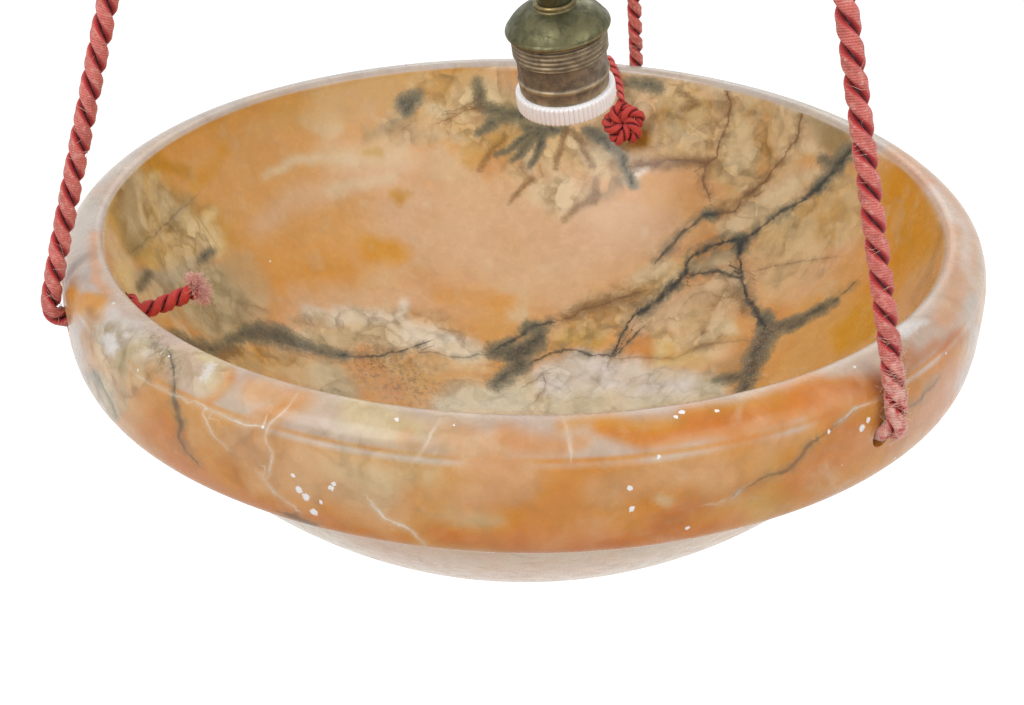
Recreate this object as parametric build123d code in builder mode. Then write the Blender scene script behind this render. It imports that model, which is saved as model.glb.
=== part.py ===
"""Alabaster bowl pendant: a turned stone bowl on three twisted silk ropes, with a lampholder on its own flex.

Millimetres, +Z up. The origin is the middle of the ceiling face, so everything hangs at negative z.
The bowl's own heights are given from its rim plane, which lies RIM_DROP below the ceiling.
"""

import os
from math import atan, cos, pi, radians, sin, sqrt, tan

from build123d import *

os.makedirs("parts", exist_ok=True)

# ---------------------------------------------------------------- driving dimensions
RIM_DROP = 652.0  # ceiling face down to the bowl's rim plane

# the bowl, heights from the rim plane
RIM_INNER_R = 175.0
LIP_CREST_R, LIP_CREST_Z = 179.2, 3.8
LIP_EDGE_R, LIP_EDGE_Z = 191.9, -5.6
LIP_INNER_BULGE = (176.4, 2.9)  # a point of the arc between the hollow and the lip's crest
LIP_OUTER_BULGE = (187.0, 1.2)  # a point of the arc between the crest and the lip's edge
BAND_UPPER_R, BAND_UPPER_Z = 193.7, -14.0
BAND_LOWER_R, BAND_LOWER_Z = 194.0, -31.0
BAND_FOOT_R, BAND_FOOT_Z = 193.0, -38.6
BAND_BEVEL = 1.6
STEP_Z = -40.4
DOME_R = 179.0
DOME_POLE_Z = -153.5
HOLLOW_POLE_Z = -130.0
ROPE_HOLE_R = 5.0

# ropes: the holes were drilled by hand, not evenly spaced and not all at one height
ROPE_D = 7.4
HOLES = {"left": (203.5, -20.0), "right": (-50.5, -20.5), "back": (71.5, -20.0)}  # azimuth, height
ROPE_SLOPE = 0.3435  # radius gained for each millimetre down
ROPE_TOP_R = 8.5
EDGE_REST_R, EDGE_REST_Z = 196.8, -5.0  # the rope's centre line beside the lip's edge
BEND_R = 200.2
BEND_RADIUS = 6.6
INSIDE_R = 162.5  # where a rope that is knotted in the open leaves its hole's line

# stopper knots: centre radius, azimuth and height, disc radius and thickness
KNOTS = {
    "left": (168.5, 203.5, -20.0, 6.2, 8.0),  # drawn into the wall
    "right": (156.5, -50.5, -28.5, 9.0, 11.0),
    "back": (156.5, 70.0, -20.5, 12.5, 15.0),
}
FREE_KNOT_LEAN = -0.35  # the knots in the open lie back on the hollow's slope
KNOT_POCKET_R, KNOT_POCKET_END_R = 6.7, 172.8  # the left hole is wider from inside, up to this radius
LEFT_TAIL = [(-150.5, -65.4, -22.2), (-141.5, -61.4, -20.6), (-129.0, -59.5, -15.0)]
TAIL_D = 6.8

# hook, link and eye
STEM_R = 3.5
HOOK_WIRE_R = 3.0
HOOK_BEND_R = 9.0
HOOK_Z = -66.0  # centre of the wire at the hook's lowest point
LINK_R, LINK_WIRE_R = 13.0, 2.5
EYE_R, EYE_WIRE_R = 7.0, 2.5
HANG_GAP = 0.3  # between two rings that hang in each other

# collar that gathers the ropes
COLLAR_R = 15.4
SOCKET_DEPTH = 6.0

# ceiling rose
PLATE_LENGTH, PLATE_WIDTH, PLATE_THICK = 86.0, 22.0, 2.5
PLATE_HOLE_R, PLATE_HOLE_SPACING = 2.3, 68.0
CUP_R, CUP_DEPTH, CUP_FLAT_R, CUP_WALL = 54.0, 30.0, 31.0, 1.2
NUT_R, NUT_HEIGHT = 9.0, 6.5
RUNNING = 0.1  # radial clearance of a piece that turns or slides
TOUCH = 0.05  # between two pieces that are fixed to each other

# flex
FLEX_D = 5.8
FLEX_X = 23.5
BUSH_R, BUSH_BORE_R, BUSH_LENGTH = 7.0, 4.2, 6.0
BUSH_FLANGE = 1.2  # how far its foot stands out under the cup
FLEX_ROUTE = [  # x, y and height over the rim plane, from the lampholder up to the ceiling rose
    (11.31, 13.14, 85.37),
    (8.68, 9.39, 103.81),
    (6.6, 4.2, 138.0),
    (6.5, 1.0, 190.0),
    (7.9, 0.0, 262.0),
    (11.6, 0.0, 340.0),
    (16.5, 0.0, 420.0),
    (20.9, 0.0, 499.0),
    (23.3, 0.0, 570.0),
    (FLEX_X, 0.0, 638.0),
]

# lampholder: heights w along its own tilted axis, from the middle of the porcelain ring
HOLDER_LEFT_TILT, HOLDER_FRONT_TILT = 7.94, 11.48
HOLDER_X, HOLDER_Y, HOLDER_Z = 17.8, 22.4, 39.75
RING_R, RING_HALF = 21.6, 4.2
RING_RIBS = 64
RIB_DEPTH = 0.55
RING_COLLAR_R, RING_COLLAR_HEIGHT, RING_BORE_R = 17.6, 5.0, 15.4
SHELL_FOOT_W, SHELL_TOP_W = 4.4, 30.8
SHELL_R, SHELL_BORE_R = 19.2, 17.7
BEAD_R, BEAD_W = SHELL_R + 0.7, 10.4
SPIGOT_W = 34.4  # top of the thin spigot inside the cap
THREAD_R = 20.5
THREAD_COUNT = 5
THREAD_START_W, THREAD_END_W = 20.0, 30.2
CAP_R, CAP_FOOT_W = 22.3, 31.3
LEDGE_R, LEDGE_W = 8.9, 42.0
NECK_R, NECK_TOP_W = 7.4, 56.0
LAMP_BORE_R = 13.5  # the screw shell takes a lamp cap of 27 mm
LAMP_BORE_LOW_W, LAMP_BORE_HIGH_W = -2.0, 21.0
SHELL_FLANGE_R = 17.0
CORE_RECESS_W, CORE_TOP_W = 22.6, 30.0
CONTACT_R, CONTACT_FOOT_W = 4.2, 21.3
CONTACT_PIN_R, CONTACT_TOP_W = 1.95, 24.6
TIN = 0.6  # wall of the lamp's screw shell

ROPE_R = ROPE_D / 2
FLEX_R = FLEX_D / 2
to_left, to_front = radians(HOLDER_LEFT_TILT), radians(HOLDER_FRONT_TILT)
HOLDER_PLANE = Plane(
    origin=(HOLDER_X, HOLDER_Y, HOLDER_Z - RIM_DROP),
    x_dir=(cos(to_left), -sin(to_left) * sin(to_front), sin(to_left) * cos(to_front)),
    z_dir=(-sin(to_left), -cos(to_left) * sin(to_front), cos(to_left) * cos(to_front)),
)
HOLDER_SECTION = Plane(origin=HOLDER_PLANE.origin, x_dir=HOLDER_PLANE.x_dir, z_dir=-HOLDER_PLANE.y_dir)
HOLDER_AXIS = Axis(HOLDER_PLANE.origin, HOLDER_PLANE.z_dir)


def save(piece, name):
    """Label a finished piece and write its STEP file."""
    piece.label = name
    export_step(piece, f"parts/{name}.step")


def ring_point(radius, azimuth, height):
    """A point beside the bowl, its height taken from the rim plane."""
    turn = radians(azimuth)
    return (radius * cos(turn), radius * sin(turn), height - RIM_DROP)


def wide_arcs(points, tight=None):
    """One radius for each corner: 0.45 of its shorter run over the tangent of half its turn."""
    tight = tight or {}
    radii = []
    for number in range(1, len(points) - 1):
        before = Vector(*points[number]) - Vector(*points[number - 1])
        after = Vector(*points[number + 1]) - Vector(*points[number])
        widest = 0.45 * min(before.length, after.length) / tan(radians(before.get_angle(after)) / 2)
        radii.append(tight.get(number, widest))
    return radii


def tube(name, points, diameter, tight=None):
    """A plain round tube along straight runs joined by arcs."""
    radii = wide_arcs(points, tight)
    with BuildPart() as cord:
        with BuildLine():
            route = FilletPolyline(*points, radius=radii)
        with BuildSketch(Plane(route @ 0, z_dir=route % 0)):
            Circle(diameter / 2)
        sweep()
    section = pi * diameter * diameter / 4
    shown = ", ".join(f"{radius:.1f}" for radius in radii)
    print(f"{name}: length {route.length:.1f}, volume over section times length "
          f"{cord.part.volume / section / route.length:.4f}, radii {shown}")
    save(cord.part, name)


def turned(name, outline):
    """A piece turned on the lampholder's axis from straight-sided points of radius and height."""
    with BuildPart() as piece:
        with BuildSketch(HOLDER_SECTION):
            with BuildLine():
                Polyline(*outline, close=True)
            make_face()
        revolve(axis=HOLDER_AXIS)
    save(piece.part, name)


# ---------------------------------------------------------------- ceiling rose
with BuildPart() as mounting_plate:
    with BuildSketch(Plane.XY.offset(-PLATE_THICK)):
        SlotOverall(PLATE_LENGTH, PLATE_WIDTH)
        with Locations((-PLATE_HOLE_SPACING / 2, 0), (PLATE_HOLE_SPACING / 2, 0)):
            Circle(PLATE_HOLE_R, mode=Mode.SUBTRACT)
        Circle(STEM_R, mode=Mode.SUBTRACT)
    extrude(amount=PLATE_THICK)
save(mounting_plate.part, "mounting_plate")

LOCKNUT_FLATS, LOCKNUT_HEIGHT = 13.0, 5.0
with BuildPart() as hook_locknut:
    with BuildSketch(Plane.XY.offset(-PLATE_THICK - LOCKNUT_HEIGHT)):
        RegularPolygon(LOCKNUT_FLATS / 2, 6, major_radius=False)
        Circle(STEM_R, mode=Mode.SUBTRACT)
    extrude(amount=LOCKNUT_HEIGHT)
    chamfer(hook_locknut.faces().sort_by(Axis.Z)[0].outer_wire().edges(), 0.8)
save(hook_locknut.part, "hook_locknut")

STEM_TOP_Z = -0.2
SHANK_Z = HOOK_Z + 2 * HOOK_BEND_R + 4  # foot of the threaded stem
NECK_Z = HOOK_Z + 2 * HOOK_BEND_R + 1  # where the wire leaves the stem's line
HOOK_TIP = (HOOK_BEND_R + 0.4, 0, HOOK_Z + HOOK_BEND_R + 2.5)
with BuildPart() as ceiling_hook:
    with BuildLine() as hook_line:
        shank = Line((0, 0, SHANK_Z), (0, 0, NECK_Z))
        side = (-HOOK_BEND_R, 0, HOOK_Z + HOOK_BEND_R)
        swing = ThreePointArc(shank @ 1, (-0.6 * HOOK_BEND_R, 0, HOOK_Z + 1.75 * HOOK_BEND_R), side)
        saddle = ThreePointArc(swing @ 1, (0, 0, HOOK_Z), (HOOK_BEND_R, 0, HOOK_Z + HOOK_BEND_R))
        Line(saddle @ 1, HOOK_TIP)
    with BuildSketch(Plane(hook_line.line @ 0, z_dir=(0, 0, -1))):
        Circle(HOOK_WIRE_R)
    sweep(transition=Transition.ROUND)
    with Locations(HOOK_TIP):
        Sphere(HOOK_WIRE_R)
    with BuildSketch(Plane.XY.offset(SHANK_Z)):
        Circle(STEM_R)
    extrude(amount=STEM_TOP_Z - SHANK_Z)
save(ceiling_hook.part, "ceiling_hook")

CUP_LIP_H = 2.2
CUP_BELLY_R, CUP_BELLY_Z = 44.5, -21.5
with BuildPart() as ceiling_cup:
    with BuildSketch(Plane.XZ):
        with BuildLine():
            foot = Polyline(
                (STEM_R + RUNNING, -CUP_DEPTH + CUP_WALL),
                (STEM_R + RUNNING, -CUP_DEPTH),
                (CUP_FLAT_R, -CUP_DEPTH),
            )
            outer = ThreePointArc(foot @ 1, (CUP_BELLY_R, CUP_BELLY_Z), (CUP_R - 2.0, -CUP_LIP_H))
            lip = Polyline(outer @ 1, (CUP_R, -CUP_LIP_H), (CUP_R, 0), (CUP_R - 2.0 - CUP_WALL, 0))
            inner = ThreePointArc(
                lip @ 1,
                (CUP_BELLY_R - CUP_WALL, CUP_BELLY_Z + CUP_WALL),
                (CUP_FLAT_R - 0.5, -CUP_DEPTH + CUP_WALL),
            )
            Line(inner @ 1, foot @ 0)
        make_face()
    revolve(axis=Axis.Z)
    with Locations((FLEX_X, 0, -CUP_DEPTH)):
        Cylinder(BUSH_R - BUSH_FLANGE, 4 * CUP_WALL, mode=Mode.SUBTRACT)
save(ceiling_cup.part, "ceiling_cup")

with BuildPart() as flex_bush:
    with BuildSketch(Plane.XY.offset(-CUP_DEPTH)):
        Circle(BUSH_R - BUSH_FLANGE)
    extrude(amount=BUSH_LENGTH / 2)
    with BuildSketch(Plane.XY.offset(-CUP_DEPTH)):
        Circle(BUSH_R)
    extrude(amount=-BUSH_LENGTH / 2)
    chamfer(flex_bush.faces().sort_by(Axis.Z)[0].outer_wire().edges(), BUSH_FLANGE)
    with Locations((0, 0, -CUP_DEPTH)):
        Cylinder(BUSH_BORE_R, 3 * BUSH_LENGTH, mode=Mode.SUBTRACT)
flex_bush_part = flex_bush.part.moved(Location((FLEX_X, 0, 0)))
save(flex_bush_part, "flex_bush")

KNURLS, KNURL_R = 24, 0.7
NUT_GAP = 0.2  # under the cup
with BuildPart() as cup_nut:
    with BuildSketch(Plane.XY.offset(-CUP_DEPTH - NUT_GAP - NUT_HEIGHT)):
        Circle(NUT_R)
        with PolarLocations(NUT_R + 0.25, KNURLS):
            Circle(KNURL_R, mode=Mode.SUBTRACT)
        Circle(STEM_R + RUNNING, mode=Mode.SUBTRACT)
    extrude(amount=NUT_HEIGHT)
save(cup_nut.part, "cup_nut")

BLOCK_X, BLOCK_LENGTH, BLOCK_WIDTH, BLOCK_HEIGHT = -22.0, 16.0, 18.0, 11.0
BLOCK_FOOT_Z = -PLATE_THICK - BLOCK_HEIGHT
TERMINAL_Y, TERMINAL_BORE_R, TERMINAL_DEPTH = 4.5, 1.9, 6.0
TERMINAL_SCREW_R, TERMINAL_SCREW_LENGTH = 1.8, 5.0
SLOT_WIDTH, SLOT_DEPTH = 0.6, 0.8
with BuildPart() as terminal_block:
    with BuildSketch(Plane.XY.offset(BLOCK_FOOT_Z)):
        with Locations((BLOCK_X, 0)):
            RectangleRounded(BLOCK_LENGTH, BLOCK_WIDTH, 2.0)
    extrude(amount=BLOCK_HEIGHT)
    with BuildSketch(Plane.XY.offset(BLOCK_FOOT_Z)):
        with Locations((BLOCK_X, -TERMINAL_Y), (BLOCK_X, TERMINAL_Y)):
            Circle(TERMINAL_BORE_R)
    extrude(amount=TERMINAL_DEPTH, mode=Mode.SUBTRACT)
save(terminal_block.part, "terminal_block")

with BuildPart() as terminal_screws:
    with BuildSketch(Plane.XY.offset(BLOCK_FOOT_Z + TERMINAL_DEPTH)):
        with Locations((BLOCK_X, -TERMINAL_Y), (BLOCK_X, TERMINAL_Y)):
            Circle(TERMINAL_SCREW_R)
    extrude(amount=-TERMINAL_SCREW_LENGTH)
    with BuildSketch(Plane.XY.offset(BLOCK_FOOT_Z + TERMINAL_DEPTH - TERMINAL_SCREW_LENGTH)):
        with Locations((BLOCK_X, -TERMINAL_Y), (BLOCK_X, TERMINAL_Y)):
            Rectangle(2 * TERMINAL_BORE_R, SLOT_WIDTH)
    extrude(amount=SLOT_DEPTH, mode=Mode.SUBTRACT)
save(terminal_screws.part, "terminal_screws")

# ---------------------------------------------------------------- link and rope collar
LINK_TOP_Z = HOOK_Z + HOOK_WIRE_R + HANG_GAP + LINK_WIRE_R
LINK_Z = LINK_TOP_Z - LINK_R
LINK_LOW_Z = LINK_Z - LINK_R
with BuildPart() as suspension_ring:
    with BuildSketch(Plane.XY):
        with Locations((LINK_R, 0)):
            Circle(LINK_WIRE_R)
    revolve(axis=Axis.Y)
suspension_ring_part = suspension_ring.part.moved(Location((0, 0, LINK_Z), (0, 0, 90)))
save(suspension_ring_part, "suspension_ring")

EYE_Z = LINK_LOW_Z + LINK_WIRE_R + HANG_GAP + EYE_WIRE_R - EYE_R
COLLAR_TOP_Z = EYE_Z - EYE_R - EYE_WIRE_R - 1.5
EYE_STEM_R, EYE_STEM_LENGTH = 2.6, 7.0
EYE_SHOULDER_R, EYE_SHOULDER_LENGTH = EYE_WIRE_R + 1.2, 3.0
with BuildPart() as collar_eye:
    with BuildSketch(Plane.XY):
        with Locations((EYE_R, 0)):
            Circle(EYE_WIRE_R)
    revolve(axis=Axis.Y)
    with BuildSketch(Plane.XY.offset(COLLAR_TOP_Z - EYE_Z)):
        Circle(EYE_SHOULDER_R)
    extrude(amount=EYE_SHOULDER_LENGTH)
    with BuildSketch(Plane.XY.offset(COLLAR_TOP_Z - EYE_Z)):
        Circle(EYE_STEM_R)
    extrude(amount=-EYE_STEM_LENGTH)
collar_eye_part = collar_eye.part.moved(Location((0, 0, EYE_Z)))
save(collar_eye_part, "collar_eye")

ROPE_LEAN = atan(ROPE_SLOPE)
SOCKET_Z = EDGE_REST_Z - RIM_DROP + (EDGE_REST_R - ROPE_TOP_R) / ROPE_SLOPE  # blind end of each rope socket
COLLAR_FOOT_Z = SOCKET_Z - SOCKET_DEPTH - 1.4
COLLAR_NECK_R = EYE_STEM_R + 2.4
with BuildPart() as rope_collar:
    with BuildSketch(Plane.XZ):
        with BuildLine():
            waist = Polyline(
                (0, COLLAR_TOP_Z), (COLLAR_NECK_R, COLLAR_TOP_Z), (COLLAR_NECK_R, COLLAR_TOP_Z - 1.0)
            )
            shoulder = ThreePointArc(
                waist @ 1, (COLLAR_R - 4.2, COLLAR_TOP_Z - 4.4), (COLLAR_R - 1.0, COLLAR_FOOT_Z + 3.0)
            )
            skirt = Polyline(shoulder @ 1, (COLLAR_R, COLLAR_FOOT_Z + 2.0), (COLLAR_R, COLLAR_FOOT_Z))
            Polyline(skirt @ 1, (0, COLLAR_FOOT_Z), (0, COLLAR_TOP_Z))
        make_face()
    revolve(axis=Axis.Z)
    with Locations((0, 0, COLLAR_TOP_Z)):
        Cylinder(EYE_STEM_R + TOUCH, 2 * EYE_STEM_LENGTH + TOUCH, mode=Mode.SUBTRACT)
    for azimuth, _ in HOLES.values():
        turn = radians(azimuth)
        down = Vector(sin(ROPE_LEAN) * cos(turn), sin(ROPE_LEAN) * sin(turn), -cos(ROPE_LEAN))
        start = Vector(ROPE_TOP_R * cos(turn), ROPE_TOP_R * sin(turn), SOCKET_Z)
        with BuildSketch(Plane(start, z_dir=down)):
            Circle(ROPE_R + TOUCH)
        extrude(amount=COLLAR_R, mode=Mode.SUBTRACT)
save(rope_collar.part, "rope_collar")

# ---------------------------------------------------------------- bowl
HOLE_START_R, HOLE_END_R = 145.0, 205.0  # each hole is drilled level, from the hollow to past the band
with BuildPart() as alabaster_bowl:
    with BuildSketch(Plane.XZ):
        with BuildLine():
            hollow_radius = (RIM_INNER_R**2 + HOLLOW_POLE_Z**2) / (-2 * HOLLOW_POLE_Z)
            hollow_centre = HOLLOW_POLE_Z + hollow_radius
            middle_r = RIM_INNER_R / 2
            middle_z = hollow_centre - sqrt(hollow_radius**2 - middle_r**2)
            hollow = ThreePointArc((0, HOLLOW_POLE_Z), (middle_r, middle_z), (RIM_INNER_R, 0))
            crest = ThreePointArc(hollow @ 1, LIP_INNER_BULGE, (LIP_CREST_R, LIP_CREST_Z))
            bevel = ThreePointArc(crest @ 1, LIP_OUTER_BULGE, (LIP_EDGE_R, LIP_EDGE_Z))
            band = Polyline(
                bevel @ 1, (BAND_UPPER_R, BAND_UPPER_Z), (BAND_LOWER_R, BAND_LOWER_Z),
                (BAND_FOOT_R, BAND_FOOT_Z),
            )
            foot = Polyline(band @ 1, (BAND_FOOT_R - BAND_BEVEL, STEP_Z), (DOME_R, STEP_Z))
            dome_radius = (DOME_R**2 + (STEP_Z - DOME_POLE_Z) ** 2) / (2 * (STEP_Z - DOME_POLE_Z))
            dome_middle_r = DOME_R / 2
            dome_middle_z = DOME_POLE_Z + dome_radius - sqrt(dome_radius**2 - dome_middle_r**2)
            dome = ThreePointArc(foot @ 1, (dome_middle_r, dome_middle_z), (0, DOME_POLE_Z))
            Line(dome @ 1, hollow @ 0)
        make_face()
    revolve(axis=Axis.Z)
    for side, (azimuth, height) in HOLES.items():
        outward = Vector(cos(radians(azimuth)), sin(radians(azimuth)), 0)
        with BuildSketch(Plane(outward * HOLE_START_R + Vector(0, 0, height), z_dir=outward)):
            Circle(ROPE_HOLE_R)
        extrude(amount=HOLE_END_R - HOLE_START_R, mode=Mode.SUBTRACT)
    pocket_azimuth, pocket_height = HOLES["left"]
    outward = Vector(cos(radians(pocket_azimuth)), sin(radians(pocket_azimuth)), 0)
    with BuildSketch(Plane(outward * KNOT_POCKET_END_R + Vector(0, 0, pocket_height), z_dir=-outward)):
        Circle(KNOT_POCKET_R)
    extrude(amount=KNOT_POCKET_END_R - HOLE_START_R, mode=Mode.SUBTRACT)
alabaster_bowl_part = alabaster_bowl.part.moved(Location((0, 0, -RIM_DROP)))
save(alabaster_bowl_part, "alabaster_bowl")

# ---------------------------------------------------------------- ropes and their knots
for side, (centre_r, centre_az, centre_z, disc_r, disc_thick) in KNOTS.items():
    azimuth, height = HOLES[side]
    points = [
        (ROPE_TOP_R * cos(radians(azimuth)), ROPE_TOP_R * sin(radians(azimuth)), SOCKET_Z),
        ring_point(EDGE_REST_R, azimuth, EDGE_REST_Z),
        ring_point(BEND_R, azimuth, height),
    ]
    if side != "left":
        points.append(ring_point(INSIDE_R, azimuth, height))
    points.append(ring_point(centre_r, centre_az, centre_z))
    tube(f"rope_{side}", points, ROPE_D, {2: BEND_RADIUS})
    with BuildPart() as knot:
        with BuildSketch(Plane.XZ):
            with BuildLine():
                flat_r, half = disc_r - disc_thick / 2, disc_thick / 2
                under = Line((0, -half), (flat_r, -half))
                rounded = ThreePointArc(under @ 1, (disc_r, 0), (flat_r, half))
                Polyline(rounded @ 1, (0, half), (0, -half))
            make_face()
        revolve(axis=Axis.Z)
    lean = 0.0 if side == "left" else FREE_KNOT_LEAN
    facing = (cos(radians(centre_az)), sin(radians(centre_az)), lean)
    tilted = Plane(ring_point(centre_r, centre_az, centre_z), z_dir=facing)
    save(knot.part.moved(tilted.location), f"knot_{side}")

tube("tail_left", [(x, y, z - RIM_DROP) for x, y, z in LEFT_TAIL], TAIL_D)

# ---------------------------------------------------------------- flex
tube("flex", [(x, y, z - RIM_DROP) for x, y, z in FLEX_ROUTE], FLEX_D)

# ---------------------------------------------------------------- lampholder
GRIP_BORE_R = FLEX_R + RUNNING
GRIP_FOOT_R = NECK_R - 1.4  # its spigot through the cap
GRIP_MOUTH = 1.4  # flare of the bore at its top
CAP_TOP_W = LEDGE_W + 2.0
SCREW_W = 50.0
SCREW_SHANK_R = 1.3
SCREW_HEAD_R, SCREW_HEAD_HEIGHT = 2.1, 1.6
SCREW_TURN = 28.0  # from the front towards the right
screw_out = (
    HOLDER_PLANE.x_dir * sin(radians(SCREW_TURN)) - HOLDER_PLANE.y_dir * cos(radians(SCREW_TURN))
).normalized()
screw_base = HOLDER_PLANE.origin + HOLDER_PLANE.z_dir * SCREW_W + screw_out * (GRIP_BORE_R + 0.1)
with BuildPart() as cord_grip:
    with BuildSketch(HOLDER_SECTION):
        with BuildLine():
            Polyline(
                (GRIP_BORE_R, LEDGE_W - 2.4), (GRIP_FOOT_R, LEDGE_W - 2.4), (GRIP_FOOT_R, CAP_TOP_W + 0.2),
                (NECK_R, CAP_TOP_W + 0.2), (NECK_R, NECK_TOP_W - 0.8), (NECK_R - 0.8, NECK_TOP_W),
                (GRIP_BORE_R + GRIP_MOUTH, NECK_TOP_W), (GRIP_BORE_R, NECK_TOP_W - GRIP_MOUTH), close=True,
            )
        make_face()
    revolve(axis=HOLDER_AXIS)
    with BuildSketch(Plane(screw_base - screw_out, z_dir=screw_out)):
        Circle(SCREW_SHANK_R + 0.08)
    extrude(amount=NECK_R, mode=Mode.SUBTRACT)
save(cord_grip.part, "cord_grip")

SHANK_OUT = NECK_R - GRIP_BORE_R + 0.3
with BuildPart() as grip_screw:
    with BuildSketch(Plane.XY):
        Circle(SCREW_SHANK_R)
    extrude(amount=SHANK_OUT)
    with BuildSketch(Plane.XY.offset(SHANK_OUT)):
        Circle(SCREW_HEAD_R)
    extrude(amount=SCREW_HEAD_HEIGHT)
    with BuildSketch(Plane.XY.offset(SHANK_OUT + SCREW_HEAD_HEIGHT)):
        Rectangle(3 * SCREW_HEAD_R, SLOT_WIDTH)
    extrude(amount=-SLOT_DEPTH, mode=Mode.SUBTRACT)
grip_screw_part = grip_screw.part.moved(Plane(screw_base, z_dir=screw_out).location)
save(grip_screw_part, "grip_screw")

CAP_WALL = 1.1
CAP_BELLY_R, CAP_BELLY_W = 17.4, LEDGE_W - 4.0
with BuildPart() as holder_cap:
    with BuildSketch(HOLDER_SECTION):
        with BuildLine():
            rim = Polyline(
                (CAP_R - 1.5, CAP_FOOT_W), (CAP_R - 0.4, CAP_FOOT_W), (CAP_R, CAP_FOOT_W + 0.8),
                (CAP_R - 0.4, CAP_FOOT_W + 1.7),
            )
            dome_out = ThreePointArc(rim @ 1, (CAP_BELLY_R, CAP_BELLY_W), (LEDGE_R + 0.6, LEDGE_W - 0.4))
            ledge = Polyline(
                dome_out @ 1, (LEDGE_R, LEDGE_W), (LEDGE_R, CAP_TOP_W - 0.6), (LEDGE_R - 0.6, CAP_TOP_W),
                (GRIP_FOOT_R, CAP_TOP_W), (GRIP_FOOT_R, LEDGE_W - 1.6), (LEDGE_R, LEDGE_W - 1.8),
            )
            dome_in = ThreePointArc(
                ledge @ 1, (CAP_BELLY_R - 1.0, CAP_BELLY_W - CAP_WALL), (CAP_R - 1.5, CAP_FOOT_W + 1.2)
            )
            Line(dome_in @ 1, rim @ 0)
        make_face()
    revolve(axis=HOLDER_AXIS)
save(holder_cap.part, "holder_cap")

THREAD_PITCH = (THREAD_END_W - THREAD_START_W) / THREAD_COUNT
thread_side = []
for number in range(THREAD_COUNT):
    low = THREAD_START_W + number * THREAD_PITCH
    thread_side += [
        (SHELL_R + 0.2, low + 0.15),
        (THREAD_R, low + 0.75),
        (THREAD_R, low + THREAD_PITCH - 0.75),
        (SHELL_R + 0.2, low + THREAD_PITCH - 0.15),
    ]
turned("holder_body", [
    (SHELL_BORE_R, SHELL_FOOT_W), (SHELL_R + 0.1, SHELL_FOOT_W), (SHELL_R + 0.25, BEAD_W - 1.1),
    (BEAD_R, BEAD_W - 0.5), (BEAD_R, BEAD_W + 0.5), (SHELL_R, BEAD_W + 1.1), (SHELL_R, THREAD_START_W),
    *thread_side,
    (SHELL_R, SHELL_TOP_W), (SHELL_BORE_R + 0.9, SHELL_TOP_W), (SHELL_BORE_R + 0.9, SPIGOT_W),
    (SHELL_BORE_R, SPIGOT_W),
])

turned("porcelain_core", [
    (CONTACT_R, CORE_TOP_W), (CONTACT_R, CONTACT_TOP_W - TIN), (CONTACT_PIN_R + TOUCH, CONTACT_TOP_W - TIN),
    (CONTACT_PIN_R + TOUCH, CORE_RECESS_W), (LAMP_BORE_R + TIN, CORE_RECESS_W),
    (LAMP_BORE_R + TIN, LAMP_BORE_HIGH_W), (SHELL_BORE_R, LAMP_BORE_HIGH_W), (SHELL_BORE_R, CORE_TOP_W),
])
turned("screw_shell", [
    (LAMP_BORE_R, LAMP_BORE_LOW_W), (LAMP_BORE_R + TIN, LAMP_BORE_LOW_W),
    (LAMP_BORE_R + TIN, LAMP_BORE_HIGH_W - TIN), (SHELL_FLANGE_R, LAMP_BORE_HIGH_W - TIN),
    (SHELL_FLANGE_R, LAMP_BORE_HIGH_W), (LAMP_BORE_R, LAMP_BORE_HIGH_W),
])
turned("centre_contact", [
    (0, CONTACT_FOOT_W), (CONTACT_R - TIN, CONTACT_FOOT_W), (CONTACT_R, CONTACT_FOOT_W + TIN),
    (CONTACT_R, CORE_RECESS_W), (CONTACT_PIN_R, CORE_RECESS_W), (CONTACT_PIN_R, CONTACT_TOP_W),
    (0, CONTACT_TOP_W),
])

CONTACT_SCREW_Y, CONTACT_SCREW_R, CONTACT_SCREW_HEIGHT = 11.0, 2.2, 1.8
with BuildPart() as contact_screws:
    with BuildSketch(HOLDER_PLANE.offset(CORE_TOP_W)):
        with Locations((0, -CONTACT_SCREW_Y), (0, CONTACT_SCREW_Y)):
            Circle(CONTACT_SCREW_R)
    extrude(amount=CONTACT_SCREW_HEIGHT)
save(contact_screws.part, "contact_screws")

# fluted porcelain ring
RIB_OVERLAP = 0.78  # rib radius over half the distance between two ribs
RIB_R = pi * RING_R / RING_RIBS * RIB_OVERLAP
with BuildPart() as porcelain_ring:
    with BuildSketch(HOLDER_PLANE.offset(-RING_HALF)):
        Circle(RING_R - RIB_DEPTH)
        with PolarLocations(RING_R - RIB_R, RING_RIBS):
            Circle(RIB_R)
    extrude(amount=2 * RING_HALF)
    with BuildSketch(HOLDER_PLANE.offset(RING_HALF)):
        Circle(RING_COLLAR_R)
    extrude(amount=RING_COLLAR_HEIGHT)
    with BuildSketch(HOLDER_PLANE.offset(-RING_HALF)):
        Circle(RING_BORE_R)
    extrude(amount=2 * RING_HALF + RING_COLLAR_HEIGHT, mode=Mode.SUBTRACT)
save(porcelain_ring.part, "porcelain_ring")
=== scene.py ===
"""Looks for the alabaster bowl pendant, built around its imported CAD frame.

Metres, +Z up, origin at the middle of the ceiling face. Lengths are written in millimetres and scaled by
MM. The bowl's heights count from its rim plane, RIM_DROP under the ceiling. Places that were read off the
photograph are in picture coordinates: across from the left and down from the top of a 1024 by 705 frame.
"""

import math

import bmesh
import bpy
import numpy as np
from mathutils import Matrix, Vector, noise


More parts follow.
